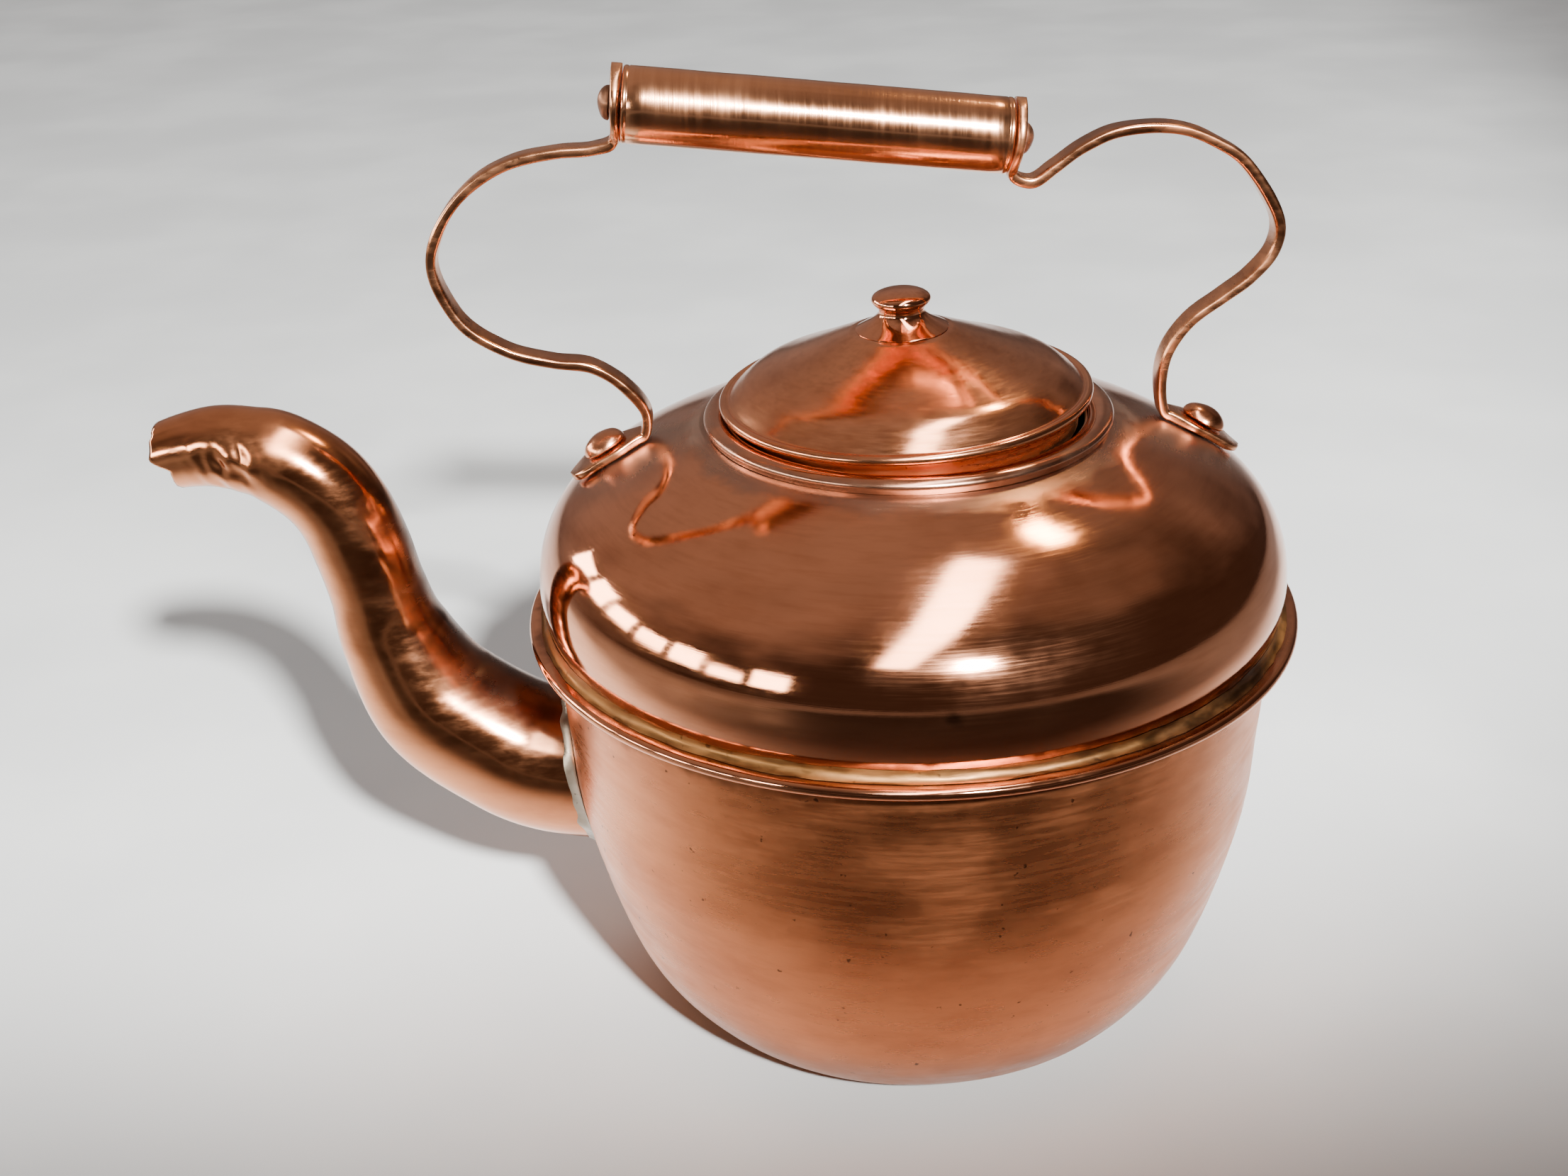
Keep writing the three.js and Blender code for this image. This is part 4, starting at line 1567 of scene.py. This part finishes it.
@dataclass
class Handle:
    """The two strap arms, their rivets, and the grip on its rod.

    It is worked out in a plane that is turned about the kettle's axis, and then turned back.

    Attributes:
        body: The body that the arms are riveted to.
        grip_height: Middle of the grip above the table.
        offset: The handle's plane behind the kettle's axis.
        reach: Rivets from the kettle's axis, along the plane.
        shift: Middle of the grip from the kettle's axis.
        tilt: How far the grip leans down towards the right.
        strap: Width and thickness of the strap.
        foot_width: Width of the foot.
        foot_length: Foot beyond its rivet.
        foot_slope: Length in plan of each unit of the foot, which slopes with the shoulder.
        grip_radius: Outside of the grip.
        grip_length: Length of the grip.
        grip_wall: Thickness of its sheet.
        disc_radius: Radius of the arm's round end.
        disc_thickness: Thickness of the arm's round end.
        rod_radius: Radius of the rod.
        rod_head: Radius and height of the rod's hammered head.
        rivet_radius: Radius of a rivet's shank.
        rivet_head: Radius and height of a rivet's head.
        burr_radius: Radius of the washers inside.
    """

    body: Body
    grip_height: float
    offset: float = 7.8 * MM
    reach: float = 72 * MM
    shift: float = -19.5 * MM
    tilt: float = math.radians(7)
    strap: tuple[float, float] = (7 * MM, 2.6 * MM)
    foot_width: float = 13 * MM
    foot_length: float = 10.5 * MM
    foot_slope: float = 0.87
    grip_radius: float = 8.7 * MM
    grip_length: float = 89 * MM
    grip_wall: float = 1 * MM
    disc_radius: float = 9 * MM
    disc_thickness: float = 2.4 * MM
    rod_radius: float = 2.4 * MM
    rod_head: tuple[float, float] = (3.8 * MM, 2.7 * MM)
    rivet_radius: float = 2.4 * MM
    rivet_head: tuple[float, float] = (5.6 * MM, 3.8 * MM)
    burr_radius: float = 6 * MM

    @classmethod
    def from_frame(cls, body: Body) -> "Handle":
        """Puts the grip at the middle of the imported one."""
        low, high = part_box("grip_tube")
        return cls(body, (low.z + high.z) / 2)

    def __post_init__(self) -> None:
        """Works out the grip's middle and direction."""
        self.along = Vector((math.cos(self.tilt), 0, -math.sin(self.tilt)))
        self.centre = Vector((self.shift, self.offset, self.grip_height))
        self.upright = Vector((math.sin(self.tilt), 0, math.cos(self.tilt)))

    def turned(self, mesh: bmesh.types.BMesh) -> bmesh.types.BMesh:
        """Turns a mesh from the handle's plane into the kettle's frame.

        Args:
            mesh: The mesh.

        Returns:
            The same mesh, turned.
        """
        turn = Matrix.Rotation(HANDLE_TURN, 4, "Z")
        bmesh.ops.transform(mesh, matrix=turn, verts=mesh.verts)
        return mesh

    def on_axis(self, mesh: bmesh.types.BMesh, foot: Vector, axis: Vector) -> bmesh.types.BMesh:
        """Stands a mesh made along Z on a point, along an axis, and turns it into place.

        Args:
            mesh: The mesh, made along Z.
            foot: The point that its origin goes to.
            axis: The direction that its Z axis takes.

        Returns:
            The same mesh, in place.
        """
        lean = UP.rotation_difference(axis).to_matrix().to_4x4()
        move = Matrix.Translation(foot) @ lean
        bmesh.ops.transform(mesh, matrix=move, verts=mesh.verts)
        return self.turned(mesh)

    def skin(self, along: float, stand: float) -> tuple[Vector, Vector]:
        """A point over the shoulder, in the handle's plane, and the way out of the surface.

        Args:
            along: How far along the plane.
            stand: How far off the surface.

        Returns:
            The point, and the direction straight out of the surface.
        """
        radius = math.hypot(along, self.offset)
        outline = self.body.shoulder_outline
        step = 1 * MM
        slope = height_at(outline, radius - step) - height_at(outline, radius + step)
        out = Vector((along / radius * slope, self.offset / radius * slope, 2 * step)).normalized()
        spot = Vector((along, self.offset, height_at(outline, radius)))
        return spot + out * stand, out

    def bends(self, hand: Hand) -> list[Vector]:
        """The bends of an arm, from the top of its round end to the tip of its foot.

        Args:
            hand: Which arm.

        Returns:
            The bends, in the handle's plane.
        """
        if hand is Hand.LEFT:
            upper = [(4.6, -1.5), (13.5, -2), (24.9, -4.2), (35.1, -10.3), (42.3, -19.7), (44.4, -28)]
            lower = [(32.4, 34.4), (22.5, 27.2), (11.5, 23.8), (2.5, 22.3), (-5.2, 16.8), (-9.8, 9.9)]
        else:
            upper = [
                (4.6, -2),
                (10, 1.2),
                (16, 5.4),
                (23.3, 8.6),
                (31.3, 9.5),
                (39.3, 8.6),
                (47, 5.4),
                (54, 0.6),
            ]
            lower = [
                (15.2, 51),
                (14.6, 44),
                (9.9, 38),
                (3.4, 33),
                (-4.2, 27.3),
                (-9.4, 19.2),
                (-10.4, 11.2),
            ]
        side = hand.value
        half_disc = self.disc_thickness / 2
        disc = self.centre + self.along * side * (self.grip_length / 2 + GAP + half_disc)
        disc_foot = disc - self.upright * (self.disc_radius - 0.6 * MM)
        stand = GAP + self.strap[1] / 2
        rivet, _ = self.skin(side * self.reach, stand)
        route = [disc + self.upright * self.disc_radius, disc, disc_foot]
        route += [disc_foot + Vector((side * out, 0, up)) * MM for out, up in upper]
        route += [rivet + Vector((side * out, 0, up)) * MM for out, up in lower]
        for beyond in (-10.2, -8.6, -6, -3, 0, 3.5, 7):
            spot, _ = self.skin(side * (self.reach + beyond * self.foot_slope * MM), stand)
            route.append(spot)
        tip_reach = self.reach + self.foot_length * self.foot_slope
        tip, _ = self.skin(side * tip_reach, stand + 0.35 * MM)
        route.append(tip)
        for spot in route:
            spot.y = self.offset
        return route

    def build(self, shop: Shop) -> None:
        """Makes the eight pieces of the handle.

        Args:
            shop: Makes the finishes, each one once.
        """
        for hand in Hand:
            self.build_arm(shop, hand)
            self.build_rivet(shop, hand)
        self.build_grip(shop)
        self.build_rod(shop)

    def build_arm(self, shop: Shop, hand: Hand) -> None:
        """Makes one arm: a strap with a round end beside the grip and a tongue on the shoulder.

        Args:
            shop: Makes the finishes, each one once.
            hand: Which arm.
        """
        rings = 260
        sides = 24
        squareness = 0.42
        path = spaced_path(self.bends(hand), rings)
        step = (path[1] - path[0]).length
        strap_width, strap_thick = self.strap
        last = rings - 1

        def half_width(ring: int) -> float:
            """Half the strap's width at a ring.

            Args:
                ring: The ring, from the round end.

            Returns:
                Half the width.
            """
            top = ring * step - self.disc_radius
            disc = math.sqrt(max(self.disc_radius**2 - top**2, 0.0))
            end = (last - ring) * step
            foot = self.foot_width / 2
            tongue = foot * math.sqrt(max(1 - (1 - min(end / foot, 1)) ** 2, 0.0))
            flare = ease(end, 22 * MM, 13 * MM)
            strap = strap_width / 2
            if ring * step < self.disc_radius:
                return max(disc, 0.35 * MM)
            wide = strap + (foot - strap) * flare
            neck = ease(ring * step, 26 * MM, 16 * MM) * 0.25 * MM
            return max(min(wide + neck, tongue), disc, 0.3 * MM)

        def place(ring: int, index: int) -> Vector:
            """A point of the arm from its ring and its number.

            Args:
                ring: The ring, from the round end.
                index: The point in the ring.

            Returns:
                The point.
            """
            before = path[max(ring - 1, 0)]
            after = path[min(ring + 1, last)]
            ahead = (after - before).normalized()
            flat = Vector((0, 1, 0))
            out = ahead.cross(flat)
            thick = strap_thick if ring * step > 2 * self.disc_radius else self.disc_thickness
            turn = math.tau * (index + 0.5) / sides
            wide = math.copysign(abs(math.cos(turn)) ** squareness, math.cos(turn))
            deep = math.copysign(abs(math.sin(turn)) ** squareness, math.sin(turn))
            end = (last - ring) * step
            thin = 1 - 0.35 * ease(end, 5 * MM, 0.0)
            return path[ring] + flat * wide * half_width(ring) + out * deep * thick / 2 * thin

        mesh = self.turned(sweep(rings, sides, place))
        name = f"{hand.name.lower()}_arm"
        uneven(mesh, depth=0.22 * MM, scale=120.0, seed=float(hand.value) * 3)
        finished(name, "kettle", mesh, [shop.finish(STRAP)], crease=50)

    def build_rivet(self, shop: Shop, hand: Hand) -> None:
        """Makes the rivet through an arm's foot and the washer inside that it closes on.

        Args:
            shop: Makes the finishes, each one once.
            hand: Which arm it goes through.
        """
        name = f"{hand.name.lower()}_rivet"
        spot, out = self.skin(hand.value * self.reach, 0.0)
        base = GAP + self.strap[1] + GAP * 0.4
        stand_off = SHEET + GAP + 0.7 * MM
        tail = -(stand_off + BURR_THICKNESS + GAP)
        radius, height = self.rivet_head
        dome = arc((0, base), radius, 6, 90, 14, height / radius)
        outline = [
            (0.0, tail - 1.5 * MM),
            (self.rivet_radius + 0.9 * MM, tail - 1.3 * MM),
            (self.rivet_radius + 1.5 * MM, tail - 0.7 * MM),
            (self.rivet_radius + 1.5 * MM, tail),
            (self.rivet_radius, tail),
            (self.rivet_radius, base),
            (radius - 0.4 * MM, base),
            *dome[:-1],
            (0.0, base + height),
        ]
        mesh = self.on_axis(revolve(outline, 64), spot, out)
        uneven(mesh, depth=0.32 * MM, scale=210.0, seed=17.0 + hand.value)
        finished(name, "kettle", mesh, [shop.finish(RIVET)], crease=55)
        flat = washer_section(self.rivet_radius + GAP, self.burr_radius, -stand_off)
        mesh = self.on_axis(revolve(flat, 48), spot, out)
        finished(name + "_burr", "kettle", mesh, [shop.finish(RIVET)])

    def build_grip(self, shop: Shop) -> None:
        """Makes the tube that the hand holds, with a scribed line and a turned-in end each side.

        Args:
            shop: Makes the finishes, each one once.
        """
        half = self.grip_length / 2
        bore = self.rod_radius + GAP
        outer = self.grip_radius
        wall = self.grip_wall
        round_end = arc((outer - 0.6 * MM, half - 0.6 * MM), 0.6 * MM, 90, 0, 8)
        line = half - 1.3 * MM
        scribe = [
            (outer, line + 0.25 * MM),
            (outer - 0.12 * MM, line + 0.1 * MM),
            (outer - 0.12 * MM, line - 0.1 * MM),
            (outer, line - 0.25 * MM),
        ]
        right = [(bore, half), *round_end, *scribe]
        left = [(radius, -height) for radius, height in right[::-1]]
        inner = [
            (bore, wall - half),
            (outer - wall, wall - half),
            (outer - wall, half - wall),
            (bore, half - wall),
        ]
        middle = [(outer, line * (1 - 2 * step / 24)) for step in range(1, 24)]
        mesh = revolve([*right, *middle, *left, *inner], 96)
        uneven(mesh, depth=0.10 * MM, scale=90.0, seed=21.0)
        self.on_axis(mesh, self.centre, self.along)
        finished("grip_tube", "grip", mesh, [shop.finish(GRIP)], crease=50)

    def build_rod(self, shop: Shop) -> None:
        """Makes the rod through the grip, with a hammered head outside each arm.

        Args:
            shop: Makes the finishes, each one once.
        """
        face = self.grip_length / 2 + GAP * 1.4 + self.disc_thickness
        radius, height = self.rod_head
        head = arc((0, face), radius, 4, 90, 10, height / radius)[:-1]
        upper = [(self.rod_radius, face), (radius - 0.3 * MM, face), *head, (0.0, face + height)]
        lower = [(r, -z) for r, z in upper[::-1]]
        mesh = revolve([*lower, *upper], 40)
        uneven(mesh, depth=0.35 * MM, scale=260.0, seed=25.0)
        self.on_axis(mesh, self.centre, self.along)
        finished("grip_rod", "kettle", mesh, [shop.finish(ROD)], crease=60)


# ---- Stage ----


def hang(data: bpy.types.Light, place: Vector, aim: Vector, over: Vector = UP) -> bpy.types.Object:
    """Hangs a light at a place, shining at a point.

    Args:
        data: The light.
        place: Where it hangs.
        aim: The point that it shines at.
        over: The direction in which its height runs.

    Returns:
        The light's object.
    """
    back = (place - aim).normalized()
    right = over.cross(back).normalized()
    turn = Matrix((right, back.cross(right), back)).transposed().to_4x4()
    lamp = bpy.data.objects.new(data.name, data)
    lamp.matrix_world = Matrix.Translation(place) @ turn
    bpy.context.scene.collection.objects.link(lamp)
    return lamp


@dataclass(frozen=True)
class Panel:
    """A soft rectangular light that is only seen in polished metal.

    Attributes:
        name: The light's name.
        place: The middle of the light.
        size: Its width and height.
        power: Its power in watts.
        tint: Its colour.
        over: The direction in which its height runs.
    """

    name: str
    place: Place
    size: Pair
    power: float
    tint: Colour
    over: Place = (0, 0, 1)

    def build(self) -> bpy.types.Object:
        """Hangs the light, facing the kettle.

        Returns:
            The light's object.
        """
        data = bpy.data.lights.new(self.name, "AREA")
        data.shape = "RECTANGLE"
        data.size, data.size_y = self.size
        data.energy = self.power
        data.color = self.tint
        lamp = hang(data, Vector(self.place), KETTLE_MIDDLE, Vector(self.over))
        lamp.visible_diffuse = False
        return lamp


CEILING_STRIP = Panel(
    name="strip",
    place=(0.08, -0.34, 1.01),
    size=(0.15, 1.3),
    power=9,
    tint=(1, 0.97, 0.93),
    over=(0.35, 1.37, 0.46),
)
WARM_LAMP = Panel(
    name="warm_lamp",
    place=(0.45, 0.55, 1.25),
    size=(0.14, 0.09),
    power=3,
    tint=(1, 0.74, 0.38),
)


@dataclass(frozen=True)
class Window:
    """A row of window panes round the left of the room, seen only in polished metal.

    Attributes:
        heights: How tall each pane is, which is also how many there are.
        distance: The panes from the kettle's axis.
        sill: Foot of the panes above the table.
        width: Width of a pane.
        first_bearing: Where the first pane stands round the axis, in degrees.
        bearing_step: How much further round the next one stands, in degrees.
        brightness: Power of a pane for each metre of its height, in watts.
        tint: Their colour.
    """

    heights: tuple[float, ...] = (0.30, 0.36, 0.24, 0.20, 0.26, 0.16, 0.28)
    distance: float = 1.5
    sill: float = 0.36
    width: float = 0.27
    first_bearing: float = 150
    bearing_step: float = 13.5
    brightness: float = 14
    tint: Colour = (1, 0.95, 0.86)

    def build(self) -> None:
        """Hangs every pane."""
        for number, tall in enumerate(self.heights):
            bearing = math.radians(self.first_bearing + number * self.bearing_step)
            place = (
                math.cos(bearing) * self.distance,
                math.sin(bearing) * self.distance,
                self.sill + tall / 2,
            )
            size = (self.width, tall)
            Panel(f"pane_{number}", place, size, self.brightness * tall, self.tint).build()


@dataclass
class Stage:
    """The pale floor, the dim room, the soft lights and the camera.

    Attributes:
        floor_size: Side of the floor.
        pale: The floor's two pale colours.
        painted_shade: The floor's colour for a patch of painted shade, well in front of the kettle, that
            the copper reflects.
        painted_shade_centre: The middle of that patch.
        painted_shade_reach: Where the patch starts to fade and where it has gone, from its middle.
        room_dark: The room's colour low down and in front.
        room_light: The room's colour above and behind.
        room_towards: The direction in which the room is brightest.
        spot_place: Where the spot light hangs.
        spot_aim: The point behind the kettle that it shines at.
        fill_place: Where the large fill light hangs.
        lens: Focal length of the camera, for a 36 mm wide frame.
        eye: Where the camera stands.
        view: The camera's right, its upwards direction and the way back from what it sees.
    """

    floor_size: float = 8.0
    pale: tuple[Colour, Colour] = ((0.66, 0.68, 0.68), (0.74, 0.76, 0.755))
    painted_shade: Colour = (0.05, 0.036, 0.03)
    painted_shade_centre: Place = (0.12, -0.75, 0)
    painted_shade_reach: Pair = (0.55, 0.84)
    room_dark: Colour = (0.052, 0.037, 0.031)
    room_light: Colour = (0.36, 0.29, 0.26)
    room_towards: Place = (-0.35, 0.50, 0.79)
    spot_place: Place = (0.42, -1.15, 1.0)
    spot_aim: Place = (-0.45, 1.34, 0)
    fill_place: Place = (-0.3, 1.6, 2.2)
    lens: float = 42.97
    eye: Place = (0.0, -0.42407, 0.3158)
    view: tuple[Place, Place, Place] = (
        (0.99777, 0.05680, -0.03495),
        (0.00660, 0.43745, 0.89922),
        (0.06636, -0.89745, 0.43611),
    )

    def build(self) -> None:
        """Makes everything that isn't part of the kettle."""
        self.build_floor()
        self.build_room()
        self.build_lights()
        self.build_camera()

    def build_floor(self) -> None:
        """Makes the pale floor, faintly clouded, with a patch of painted shade well in front of the
        kettle.
        """
        mesh = bmesh.new()
        bmesh.ops.create_grid(mesh, x_segments=8, y_segments=8, size=self.floor_size / 2)
        data = bpy.data.meshes.new("floor")
        mesh.to_mesh(data)
        mesh.free()
        material = bpy.data.materials.new("floor")
        nodes = MaterialNodes(material)
        clouds = nodes.noise(nodes.mapped((1, 1, 1)), 7.0, 4.0, 0.5)
        share = nodes.graded(clouds, 0.35, 0.7, 0.0, 1.0)
        pale = nodes.mixed(share, (*self.pale[0], 1), (*self.pale[1], 1))
        # Painted shade: a dark patch on the floor in front of the kettle, for the bowl and the shoulder
        # to reflect.
        away = nodes.vectors("DISTANCE", nodes.place, self.painted_shade_centre).outputs["Value"]
        painted_shade = nodes.graded(away, *self.painted_shade_reach, 0.93, 0.0)
        colour = nodes.mixed(painted_shade, pale, (*self.painted_shade, 1))
        nodes.join(colour, nodes.shader.inputs["Base Color"])
        nodes.join(nodes.graded(clouds, 0.3, 0.7, 0.42, 0.58), nodes.shader.inputs["Roughness"])
        nodes.shader.inputs["Specular IOR Level"].default_value = 0.08
        data.materials.append(material)
        floor = bpy.data.objects.new("floor", data)
        bpy.context.scene.collection.objects.link(floor)

    def build_room(self) -> None:
        """Makes the dim warm room that the copper reflects, brighter above and behind."""
        world = bpy.data.worlds.new("room")
        world.use_nodes = True
        nodes = Nodes(world.node_tree)
        direction = world.node_tree.nodes.new("ShaderNodeTexCoord").outputs["Generated"]
        facing = nodes.vectors("DOT_PRODUCT", direction, self.room_towards).outputs["Value"]
        clutter = nodes.noise(direction, 3.2, 3.0)
        wander = nodes.maths("MULTIPLY_ADD", clutter, 0.9, facing)
        share = nodes.graded(wander, 0.55, 1.5, 0.0, 1.0)
        tone = nodes.mixed(share, (*self.room_dark, 1), (*self.room_light, 1))
        nodes.join(tone, world.node_tree.nodes["Background"].inputs["Color"])
        bpy.context.scene.world = world

    def build_lights(self) -> None:
        """Hangs the spot light, the ceiling strip, the window panes, a warm lamp and the fill."""
        spot = bpy.data.lights.new("spot", "SPOT")
        spot.energy = 560
        spot.color = (1, 0.99, 0.97)
        spot.shadow_soft_size = 0.06
        spot.spot_size = math.radians(45)
        spot.spot_blend = 0.4
        hang(spot, Vector(self.spot_place), Vector(self.spot_aim))
        self.keep_off(CEILING_STRIP.build(), "grip_tube_look")
        Window().build()
        WARM_LAMP.build()
        fill = bpy.data.lights.new("fill", "AREA")
        fill.size = 2.4
        fill.energy = 30
        fill.color = (0.93, 0.97, 1)
        hang(fill, Vector(self.fill_place), KETTLE_MIDDLE).visible_glossy = False

    @staticmethod
    def keep_off(lamp: bpy.types.Object, name: str) -> None:
        """Stops a light from falling on one piece.

        Args:
            lamp: The light's object.
            name: The piece's name.
        """
        shaded = bpy.data.collections.new(f"shaded_from_{lamp.name}")
        shaded.objects.link(bpy.data.objects[name])
        shaded.collection_objects[0].light_linking.link_state = "EXCLUDE"
        lamp.light_linking.receiver_collection = shaded

    def build_camera(self) -> None:
        """Sets the camera, looking down at the kettle from the front."""
        data = bpy.data.cameras.new("camera")
        data.lens = self.lens
        data.sensor_width = 36
        data.clip_start = 0.01
        camera = bpy.data.objects.new("camera", data)
        turn = Matrix(self.view).transposed().to_4x4()
        camera.matrix_world = Matrix.Translation(self.eye) @ turn
        bpy.context.scene.collection.objects.link(camera)
        bpy.context.scene.camera = camera


def main() -> None:
    """Builds the kettle and its stage."""
    logging.basicConfig(level=logging.INFO, format="%(name)s: %(message)s")
    shop = Shop()
    body = Body.from_frame()
    body.build(shop)
    Lid.from_frame().build(shop)
    Spout.from_frame(body).build(shop)
    Handle.from_frame(body).build(shop)
    Stage().build()


if __name__ == "__main__":
    main()
